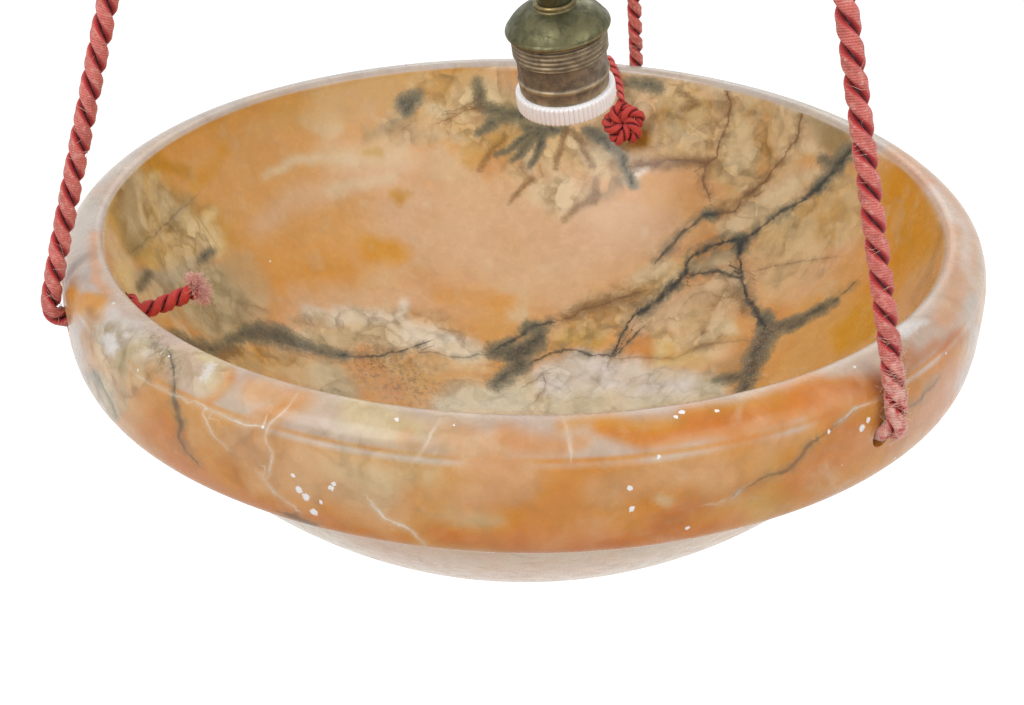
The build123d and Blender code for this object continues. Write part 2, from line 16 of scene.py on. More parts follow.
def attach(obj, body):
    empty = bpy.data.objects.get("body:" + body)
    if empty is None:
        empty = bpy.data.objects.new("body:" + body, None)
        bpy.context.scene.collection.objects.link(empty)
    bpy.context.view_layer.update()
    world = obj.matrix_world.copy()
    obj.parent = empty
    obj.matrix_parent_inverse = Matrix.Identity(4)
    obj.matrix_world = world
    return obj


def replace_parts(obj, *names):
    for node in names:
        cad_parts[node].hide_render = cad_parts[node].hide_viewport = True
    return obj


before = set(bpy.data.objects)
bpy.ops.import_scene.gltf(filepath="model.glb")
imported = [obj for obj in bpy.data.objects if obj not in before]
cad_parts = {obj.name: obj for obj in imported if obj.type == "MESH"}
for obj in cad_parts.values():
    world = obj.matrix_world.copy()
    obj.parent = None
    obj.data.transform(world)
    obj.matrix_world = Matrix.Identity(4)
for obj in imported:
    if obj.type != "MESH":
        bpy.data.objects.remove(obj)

MM = 0.001
FULL_TURN = 2 * math.pi
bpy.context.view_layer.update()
SEED = 7
RNG = np.random.default_rng(SEED)
noise.seed_set(SEED)  # without it noise_vector differs from run to run

# ---------------------------------------------------------------- sizes shared with the CAD source
RIM_DROP = 652.0
ROPE_D, TAIL_D, TIE_D, FLEX_D = 7.4, 6.8, 4.2, 5.8
RIM_INNER_R, HOLLOW_POLE_Z = 175.0, -130.0
HOLLOW_SPHERE_R = (RIM_INNER_R**2 + HOLLOW_POLE_Z**2) / (-2 * HOLLOW_POLE_Z)
HOLLOW_CENTRE_Z = HOLLOW_POLE_Z + HOLLOW_SPHERE_R
LIP_CREST, LIP_EDGE = (179.2, 3.8), (191.9, -5.6)
LIP_INNER_BULGE, LIP_OUTER_BULGE = (176.4, 2.9), (187.0, 1.2)
BAND_SIDE = [(192.6, -7.4), (193.3, -10.6), (193.8, -15.0), (194.0, -20.0), (194.05, -26.0), (194.0, -31.0),
             (193.7, -34.6), (193.2, -37.4), (192.6, -39.2), (191.6, -40.2)]
STEP_Z, DOME_R, DOME_POLE_Z = -40.4, 179.0, -153.5
STEP_RADII = (190.6, 187.0, 183.0)
HOLE_R, POCKET_R, POCKET_END_R = 5.0, 6.7, 172.8
SOCKET_Z = -108.83  # blind end of the rope sockets in the collar, under the ceiling face
ROPE_TOP_R = 8.5
EDGE_REST_R, EDGE_REST_Z = 196.8, -5.0
BEND_R, INSIDE_R = 200.2, 162.5
HOLES = {"left": (203.5, -20.0), "right": (-50.5, -20.5), "back": (71.5, -20.0)}
KNOTS = {"left": (168.5, 203.5, -20.0), "right": (156.5, -50.5, -28.5), "back": (156.5, 70.0, -20.5)}
LEFT_TAIL = [(-150.5, -65.4, -22.2), (-141.5, -61.4, -20.6), (-129.0, -59.5, -15.0)]
FLEX_ROUTE = [
    (11.31, 13.14, 85.37), (8.68, 9.39, 103.81), (6.6, 4.2, 138.0), (6.5, 1.0, 190.0), (7.9, 0.0, 262.0),
    (11.6, 0.0, 340.0), (16.5, 0.0, 420.0), (20.9, 0.0, 499.0), (23.3, 0.0, 570.0), (23.5, 0.0, 638.0),
]
TO_LEFT, TO_FRONT = math.radians(7.94), math.radians(11.48)


def under_rim(x, y, height):
    """A place given by its millimetres from the bowl's axis and its height from the rim plane."""
    return Vector((x, y, height - RIM_DROP)) * MM


HOLDER_BASE = under_rim(17.8, 22.4, 39.75)
HOLDER_UP = Vector((
    -math.sin(TO_LEFT), -math.cos(TO_LEFT) * math.sin(TO_FRONT), math.cos(TO_LEFT) * math.cos(TO_FRONT)
))
HOLDER_RIGHT = Vector((
    math.cos(TO_LEFT), -math.sin(TO_LEFT) * math.sin(TO_FRONT), math.sin(TO_LEFT) * math.cos(TO_FRONT)
))
HOLDER_BACK = HOLDER_UP.cross(HOLDER_RIGHT)

# ---------------------------------------------------------------- camera
FOCAL_PX = 1300.0
PICTURE_W, PICTURE_H = 1024.0, 705.0
SENSOR = 36.0
CAMERA_DISTANCE = 566.684 * MM
CAMERA_ELEVATION = math.radians(23.583)
CAMERA_PAN, CAMERA_TILT, CAMERA_ROLL = -0.00727, -0.11882, 0.01143
CLIP_NEAR, CLIP_FAR = 0.02, 60.0


def camera_axes():
    """Right, up and forward of the photograph's camera."""

    def turned(first, second, angle):
        cosine, sine = math.cos(angle), math.sin(angle)
        return first * cosine + second * sine, second * cosine - first * sine

    forward = Vector((0, math.cos(CAMERA_ELEVATION), -math.sin(CAMERA_ELEVATION)))
    up = Vector((0, math.sin(CAMERA_ELEVATION), math.cos(CAMERA_ELEVATION)))
    forward, right = turned(forward, Vector((1, 0, 0)), CAMERA_PAN)
    forward, up = turned(forward, up, CAMERA_TILT)
    right, up = turned(right, up, CAMERA_ROLL)
    return right, up, forward


CAMERA_RIGHT, CAMERA_UP, CAMERA_FORWARD = camera_axes()
CAMERA_PLACE = Vector((
    0,
    -CAMERA_DISTANCE * math.cos(CAMERA_ELEVATION),
    CAMERA_DISTANCE * math.sin(CAMERA_ELEVATION) - RIM_DROP * MM,
))


def put_in_scene(name, data):
    """A new object in the scene."""
    item = bpy.data.objects.new(name, data)
    bpy.context.scene.collection.objects.link(item)
    return item


def make_camera():
    """The camera at the photograph's viewing angle."""
    data = bpy.data.cameras.new("camera")
    data.sensor_width = SENSOR
    data.lens = SENSOR * FOCAL_PX / PICTURE_W
    data.clip_start, data.clip_end = CLIP_NEAR, CLIP_FAR
    camera = put_in_scene("camera", data)
    turn = Matrix((CAMERA_RIGHT, CAMERA_UP, -CAMERA_FORWARD)).transposed().to_4x4()
    camera.matrix_world = Matrix.Translation(CAMERA_PLACE) @ turn
    bpy.context.scene.camera = camera


def in_picture(places):
    """Picture coordinates of an array of points."""
    seen = places - np.array(CAMERA_PLACE)
    depth = seen @ np.array(CAMERA_FORWARD)
    across = PICTURE_W / 2 + FOCAL_PX * (seen @ np.array(CAMERA_RIGHT)) / depth
    down = PICTURE_H / 2 - FOCAL_PX * (seen @ np.array(CAMERA_UP)) / depth
    return np.stack([across, down], 1)


def sight_line(across, down):
    """Direction in which the camera sees a place in the picture."""
    aim = CAMERA_FORWARD * FOCAL_PX + CAMERA_RIGHT * (across - PICTURE_W / 2)
    return (aim - CAMERA_UP * (down - PICTURE_H / 2)).normalized()


make_camera()


# ---------------------------------------------------------------- node graphs
def linear(colour):
    """Scene-linear colour of a display colour given as three numbers from 0 to 255."""
    parts = [part / 255 for part in colour]
    return [part / 12.92 if part <= 0.04045 else ((part + 0.055) / 1.055) ** 2.4 for part in parts]


def darker(colour, level):
    """A display colour with its numbers scaled."""
    return [part * level for part in colour]


class Value:
    """An output of a node. Sums and products of values add the nodes that work them out."""

    def __init__(self, graph, socket):
        self.graph, self.socket = graph, socket

    def __add__(self, other):
        return self.graph.math("ADD", self, other)

    def __sub__(self, other):
        return self.graph.math("SUBTRACT", self, other)

    def __rsub__(self, other):
        return self.graph.math("SUBTRACT", other, self)

    def __mul__(self, other):
        return self.graph.math("MULTIPLY", self, other)

    def __truediv__(self, other):
        return self.graph.math("DIVIDE", self, other)

    def __abs__(self):
        return self.graph.math("ABSOLUTE", self)

    def sibling(self, output):
        """Another output of the same node."""
        return Value(self.graph, self.socket.node.outputs[output])


class Graph:
    """The node tree of a material or world, with short calls that add nodes to it."""

    def __init__(self, owner):
        owner.use_nodes = True
        self.owner, self.tree = owner, owner.node_tree

    def node(self, kind, feeds, output=0, **settings):
        """Add a node, feed its inputs by number or name, and give one of its outputs."""
        item = self.tree.nodes.new(kind)
        for key, value in settings.items():
            setattr(item, key, value)
        for key, value in feeds.items():
            self.feed(item.inputs[key], value)
        return Value(self, item.outputs[output])

    def feed(self, socket, value):
        """Link a value to an input, or write a number, vector or colour in it."""
        if isinstance(value, Value):
            self.tree.links.new(value.socket, socket)
        elif hasattr(value, "__len__") and socket.type == "RGBA":
            socket.default_value = (*value[:3], 1.0)
        else:
            socket.default_value = value

    def set(self, kind="Principled BSDF", **values):
        """Feed the inputs of the shader."""
        for key, value in values.items():
            self.feed(self.tree.nodes[kind].inputs[key.replace("_", " ")], value)

    def math(self, operation, *values):
        return self.node("ShaderNodeMath", dict(enumerate(values)), operation=operation)

    def mix(self, share, first, second, blend="MIX"):
        feeds = {0: share, 6: first, 7: second}
        return self.node("ShaderNodeMix", feeds, 2, data_type="RGBA", blend_type=blend)

    def place(self):
        return self.node("ShaderNodeTexCoord", {}, "Object")

    def noise(self, size, detail=3.0, roughness=0.55, distortion=0.0, where=None, offset=None):
        """Smooth noise from 0 to 1 whose features are about size millimetres across."""
        where = where or self.place()
        if offset is not None:
            where = self.node("ShaderNodeVectorMath", {0: where, 1: offset}, operation="ADD")
        return self.node("ShaderNodeTexNoise", {
            "Vector": where, "Scale": 1 / (size * MM), "Detail": detail, "Roughness": roughness,
            "Distortion": distortion,
        })

    def warped(self, size, reach, where=None):
        """The place shifted at random by up to about reach millimetres, in features of that size."""
        start = where or self.place()
        cloud = self.node("ShaderNodeTexNoise", {"Vector": start, "Scale": 1 / (size * MM)}, "Color")
        shift = self.node("ShaderNodeVectorMath", {0: cloud, 1: [2 * reach * MM] * 3, 2: [-reach * MM] * 3},
                          operation="MULTIPLY_ADD")
        return self.node("ShaderNodeVectorMath", {0: start, 1: shift}, operation="ADD")

    def cells(self, size, where):
        """Cells about size millimetres across: distance to the cell's edge and a random number for each."""
        feeds = {"Vector": where, "Scale": 1 / (size * MM)}
        edge = self.node("ShaderNodeTexVoronoi", feeds, "Distance", feature="DISTANCE_TO_EDGE")
        number = self.node("ShaderNodeTexVoronoi", feeds, "Color", feature="F1")
        return edge, self.node("ShaderNodeSeparateColor", {0: number})

    def near(self, where, place, low, high):
        """One nearer than low metres to a place, and falling to 0 at high."""
        gap = self.node("ShaderNodeVectorMath", {0: where, 1: place}, "Value", operation="DISTANCE")
        return self.smooth(gap, low, high, 1, 0)

    def smooth(self, value, low, high, start=0.0, end=1.0):
        """Start below low, end above high, and a smooth step between them."""
        feeds = dict(enumerate((value, low, high, start, end)))
        return self.node("ShaderNodeMapRange", feeds, interpolation_type="SMOOTHSTEP")

    def attribute(self, name):
        """Red, green, blue, alpha and the whole colour of a vertex attribute."""
        whole = self.node("ShaderNodeAttribute", {}, "Color", attribute_name=name)
        red = self.node("ShaderNodeSeparateColor", {0: whole})
        return red, red.sibling(1), red.sibling(2), whole.sibling("Alpha"), whole

    def bump(self, height, depth, strength):
        """A bump whose full height is depth millimetres."""
        return self.node("ShaderNodeBump", {"Strength": strength, "Distance": depth * MM, "Height": height})

    def looked_at(self):
        """One for rays from the camera, or from it by way of a mirror or glass, and 0 for the rest."""
        camera = self.node("ShaderNodeLightPath", {}, "Is Camera Ray")
        straight = self.math("MAXIMUM", camera, camera.sibling("Is Glossy Ray"))
        return self.math("MAXIMUM", straight, camera.sibling("Is Transmission Ray"))


def new_material(name):
    return Graph(bpy.data.materials.new(name))


# ---------------------------------------------------------------- meshes
def add_object(name, data, material, body):
    """Put a finished mesh in the scene, riding on a body."""
    item = put_in_scene(name, data)
    data.materials.append(material)
    data.shade_smooth()
    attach(item, body)
    return item


def make_mesh(name, places, faces):
    """A mesh from an array of places and a list of faces."""
    data = bpy.data.meshes.new(name)
    places = [tuple(place) for place in np.asarray(places, float)]
    data.from_pydata(places, [], [tuple(face) for face in faces])
    data.update()
    return data


def shape_with_modifiers(item):
    """A new mesh of an object's shape with its modifiers or curve settings."""
    bpy.context.view_layer.update()
    return bpy.data.meshes.new_from_object(item.evaluated_get(bpy.context.evaluated_depsgraph_get()))


def grid_faces(rows, columns, closed_rows=False):
    """Quads of a grid whose columns close into a ring, and whose rows do if asked."""
    faces = []
    for row in range(rows if closed_rows else rows - 1):
        start, after = row * columns, (row + 1) % rows * columns
        for column in range(columns):
            beside = (column + 1) % columns
            faces.append((start + column, start + beside, after + beside, after + column))
    return faces


def keep_numbers(data, name, values):
    """Store one number or four for each vertex as a vertex attribute."""
    values = np.asarray(values, np.float32)
    kind, field = ("FLOAT", "value") if values.ndim == 1 else ("FLOAT_COLOR", "color")
    data.attributes.new(name, kind, "POINT").data.foreach_set(field, values.ravel())


def drifting(places, size, reach, seed):
    """Each point's smooth random shift, up to about reach, with features of that size in millimetres."""
    shift = Vector((seed, seed * 1.7, -seed))
    scale = 1 / (size * MM)
    moved = np.array([noise.noise_vector(Vector(place) * scale + shift) for place in places]) * reach
    return moved[:, :2]


def spread(values, low, high):
    """Smooth step of an array from 0 below low to 1 above high."""
    share = np.clip((values - low) / (high - low), 0, 1)
    return share * share * (3 - 2 * share)


def around_holder(radius, turn, height):
    """A place on the lampholder: distance from its axis, turn from its right side, height along its axis."""
    out = HOLDER_RIGHT * math.cos(turn) + HOLDER_BACK * math.sin(turn)
    return HOLDER_BASE + (out * radius + HOLDER_UP * height) * MM


CORNER_STEPS = 4


def rounded(outline, radius):
    """An outline of (radius, height, wear) points with its corners rounded."""
    points = [Vector(point) for point in outline]
    made = [points[0]]
    for before, corner, after in zip(points, points[1:], points[2:]):
        run_in, run_out = Vector((before - corner)[:2]), Vector((after - corner)[:2])
        cut = min(radius, run_in.length * 0.45, run_out.length * 0.45)
        start, end = corner.copy(), corner.copy()
        start.xy += run_in.normalized() * cut
        end.xy += run_out.normalized() * cut
        for step in range(CORNER_STEPS + 1):
            share = step / CORNER_STEPS
            made.append(start * (1 - share) ** 2 + corner * 2 * share * (1 - share) + end * share**2)
    made.append(points[-1])
    return made


def lathe(name, outline, material, node, body, segments=160, change=None):
    """A piece turned on the lampholder's axis from (radius, height, wear) points, closed into a ring."""
    places = []
    for radius, height, _ in outline:
        for segment in range(segments):
            turn = FULL_TURN * segment / segments
            shown = change(radius, height, turn) if change else radius
            places.append(around_holder(shown, turn, height))
    data = make_mesh(name, places, grid_faces(len(outline), segments, closed_rows=True))
    keep_numbers(data, "wear", np.repeat([point[2] for point in outline], segments))
    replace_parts(add_object(name, data, material, body), node)


# ---------------------------------------------------------------- cords
SPLINE_STEPS, SPLINE_ORDER = 24, 3
STRANDS, STRAND_SIDES = 2, 16
STRAND_WIDTH = 0.8  # of the round strand's width, measured along the ring
STRAND_SQUARENESS = 0.85


def rim_place(radius, azimuth, height):
    """A place beside the bowl, its height taken from the rim plane."""
    turn = math.radians(azimuth)
    return under_rim(radius * math.cos(turn), radius * math.sin(turn), height)


def smooth_line(name, controls):
    """Points of the smooth curve that a cord follows, read from its NURBS spline."""
    curve = bpy.data.curves.new(name, "CURVE")
    curve.dimensions = "3D"
    curve.resolution_u = SPLINE_STEPS
    spline = curve.splines.new("NURBS")
    spline.points.add(len(controls) - 1)
    for point, place in zip(spline.points, controls):
        point.co = (*place, 1.0)
    spline.order_u = SPLINE_ORDER
    spline.use_endpoint_u = True
    holder = put_in_scene(name, curve)
    data = shape_with_modifiers(holder)
    line = np.array([vertex.co for vertex in data.vertices])
    bpy.data.objects.remove(holder)
    bpy.data.curves.remove(curve)
    bpy.data.meshes.remove(data)
    return line


def run_along(line):
    """How far along a line each of its points is."""
    return np.concatenate([[0], np.cumsum(np.linalg.norm(np.diff(line, axis=0), axis=1))])


def evenly(line, step):
    """The same line with points a step apart, and how far along it each one is."""
    along = run_along(line)
    marks = np.linspace(0, along[-1], max(3, int(along[-1] / step) + 1))
    return np.stack([np.interp(marks, along, line[:, axis]) for axis in range(3)], 1), marks


def frames_along(line, closed=False):
    """Two side directions at each point of a line that don't twist about it."""
    tangents = np.roll(line, -1, 0) - np.roll(line, 1, 0) if closed else np.gradient(line, axis=0)
    tangents /= np.linalg.norm(tangents, axis=1)[:, None]
    side = np.cross(tangents[0], (0.0, 0.0, 1.0) if abs(tangents[0][2]) < 0.9 else (1.0, 0.0, 0.0))
    sides = []
    for tangent in tangents:
        side = side - tangent * (side @ tangent)
        side = side / np.linalg.norm(side)
        sides.append(side)
    sides = np.array(sides)
    return sides, np.cross(tangents, sides)


def tube(line, radii, sides):
    """Places of the rings round a line, and the faces between them and across its ends."""
    across, ups = frames_along(line)
    places = []
    for row, place in enumerate(line):
        for column in range(sides):
            turn = FULL_TURN * column / sides
            places.append(place + (across[row] * math.cos(turn) + ups[row] * math.sin(turn)) * radii[row])
    last = (len(line) - 1) * sides
    ends = list(reversed(range(sides))), list(range(last, last + sides))
    return places, [*grid_faces(len(line), sides), *ends]


def squared(part):
    """A sine or cosine that makes a circle a little squarer."""
    return abs(part) ** STRAND_SQUARENESS * math.copysign(1, part)


def strands(line, marks, diameter, pitch, wander, closed=False):
    """Twisted strands along a line: places, faces, groove depth, distance along and share of the way round.

    Diameter and pitch are in metres, one number or one for each point of the line. The lay is S."""
    sides, ups = frames_along(line, closed)
    phase = -FULL_TURN * np.cumsum(np.gradient(marks) / np.broadcast_to(pitch, marks.shape))
    if closed:
        half_turns = round(phase[-1] / math.pi) * math.pi
        phase = phase * (half_turns / phase[-1])
    size = np.broadcast_to(diameter, marks.shape)
    swell = 1 + wander * np.array([noise.noise(Vector((mark * 90, 3.1, 0))) for mark in marks])
    rows = len(line)
    places, faces, grooves, lengths, turns = [], [], [], [], []
    for strand in range(STRANDS):
        angle = phase + FULL_TURN * strand / STRANDS
        cosine, sine = np.cos(angle)[:, None], np.sin(angle)[:, None]
        out, along_ring = cosine * sides + sine * ups, cosine * ups - sine * sides
        centres = line + out * (size * 0.25)[:, None]
        base = strand * rows * STRAND_SIDES
        for column in range(STRAND_SIDES):
            turn = FULL_TURN * column / STRAND_SIDES
            bulge, flat = squared(math.cos(turn)), squared(math.sin(turn))
            places.append(
                centres
                + out * (size * swell * 0.25 * bulge)[:, None]
                + along_ring * (size * swell * STRAND_WIDTH * 0.48 * flat)[:, None]
            )
            grooves.append(np.full(rows, 0.5 - 0.5 * math.cos(turn)))
            lengths.append(marks + strand * 0.37)
            turns.append(np.full(rows, column / STRAND_SIDES))
        for row in range(rows if closed else rows - 1):
            after = (row + 1) % rows
            for column in range(STRAND_SIDES):
                beside = (column + 1) % STRAND_SIDES
                corners = ((column, row), (beside, row), (beside, after), (column, after))
                faces.append([base + c * rows + r for c, r in corners])
        if not closed:
            faces.append([base + column * rows for column in reversed(range(STRAND_SIDES))])
            faces.append([base + column * rows + rows - 1 for column in range(STRAND_SIDES)])
    places, grooves, lengths, turns = (np.concatenate(parts) for parts in (places, grooves, lengths, turns))
    return places, faces, grooves, lengths, turns


def strand_mesh(name, parts, fresh):
    """A mesh of twisted strands with the numbers that the silk material reads."""
    places, faces, grooves, lengths, turns = parts
    data = make_mesh(name, places, faces)
    keep_numbers(data, "groove", grooves)
    keep_numbers(data, "fresh", fresh)
    corner_vertices = np.zeros(len(data.loops), int)
    data.loops.foreach_get("vertex_index", corner_vertices)
    counts = np.zeros(len(data.polygons), int)
    data.polygons.foreach_get("loop_total", counts)
    # the share of the way round ends at 1 in the faces that close the ring
    share = turns[corner_vertices]
    face_of_corner = np.repeat(np.arange(len(counts)), counts)
    highest = np.zeros(len(counts))
    np.maximum.at(highest, face_of_corner, share)
    share = np.where((share < 0.01) & (highest[face_of_corner] > 0.8), 1.0, share)
    values = np.stack([lengths[corner_vertices], share, np.zeros(len(share))], 1)
    threads = data.attributes.new("thread", "FLOAT_VECTOR", "CORNER")
    threads.data.foreach_set("vector", values.astype(np.float32).ravel())
    return data


def thin_threads(name, paths, radius, material, sides, taper=0.4):
    """Loose silk fibres: one thin tube for each path, with how far along its path each vertex is."""
    places, faces, tips = [], [], []
    for path in paths:
        share = np.linspace(0, 1, len(path))
        rings, quads = tube(np.asarray(path, float), radius * (1 - taper * share), sides)
        faces += [[len(places) + corner for corner in face] for face in quads]
        places += rings
        tips.append(np.repeat(share, sides))
    piece = add_object(name, make_mesh(name, places, faces), material, "pendant")
    keep_numbers(piece.data, "tip", np.concatenate(tips))


# ---------------------------------------------------------------- stone, read off the photograph
TONES = {name: linear(colour) for name, colour in {
    "rose beige": (212, 180, 149), "peach": (208, 162, 108), "tan": (200, 164, 110),
    "caramel": (207, 148, 74), "honey": (203, 150, 66), "ochre": (186, 138, 58), "olive": (140, 112, 62),
    "olive yellow": (190, 158, 88), "pale yellow": (221, 200, 152), "moss": (140, 124, 88),
    "grey green": (168, 155, 126), "cream": (220, 205, 176), "chalk": (234, 228, 218),
    "umber": (120, 84, 44), "charcoal": (58, 57, 50), "pale green": (212, 206, 186),
    "band peach": (209, 160, 115), "band orange": (200, 130, 66), "band pink": (212, 170, 138),
    "rust": (178, 105, 55), "lip grey": (200, 193, 190), "lip white": (226, 223, 222),
    "lip pink": (205, 156, 126), "dome pale": (212, 190, 166), "dome pink": (210, 172, 142),
    "slate": (132, 130, 120), "smoke": (112, 108, 84), "ink": (34, 36, 34), "bark": (128, 92, 44),
    "layer": (226, 206, 166), "knock": (238, 235, 234), "silk worn": (238, 178, 164),
    "silk frayed": (240, 192, 178), "silk groove": (196, 44, 46), "silk rib": (170, 44, 42),
    "silk fibre": (140, 52, 46), "porcelain": (250, 249, 251), "grime": (210, 204, 198),
    "cotton dark": (52, 36, 26), "cotton light": (126, 96, 62), "cotton dust": (84, 62, 42),
}.items()}

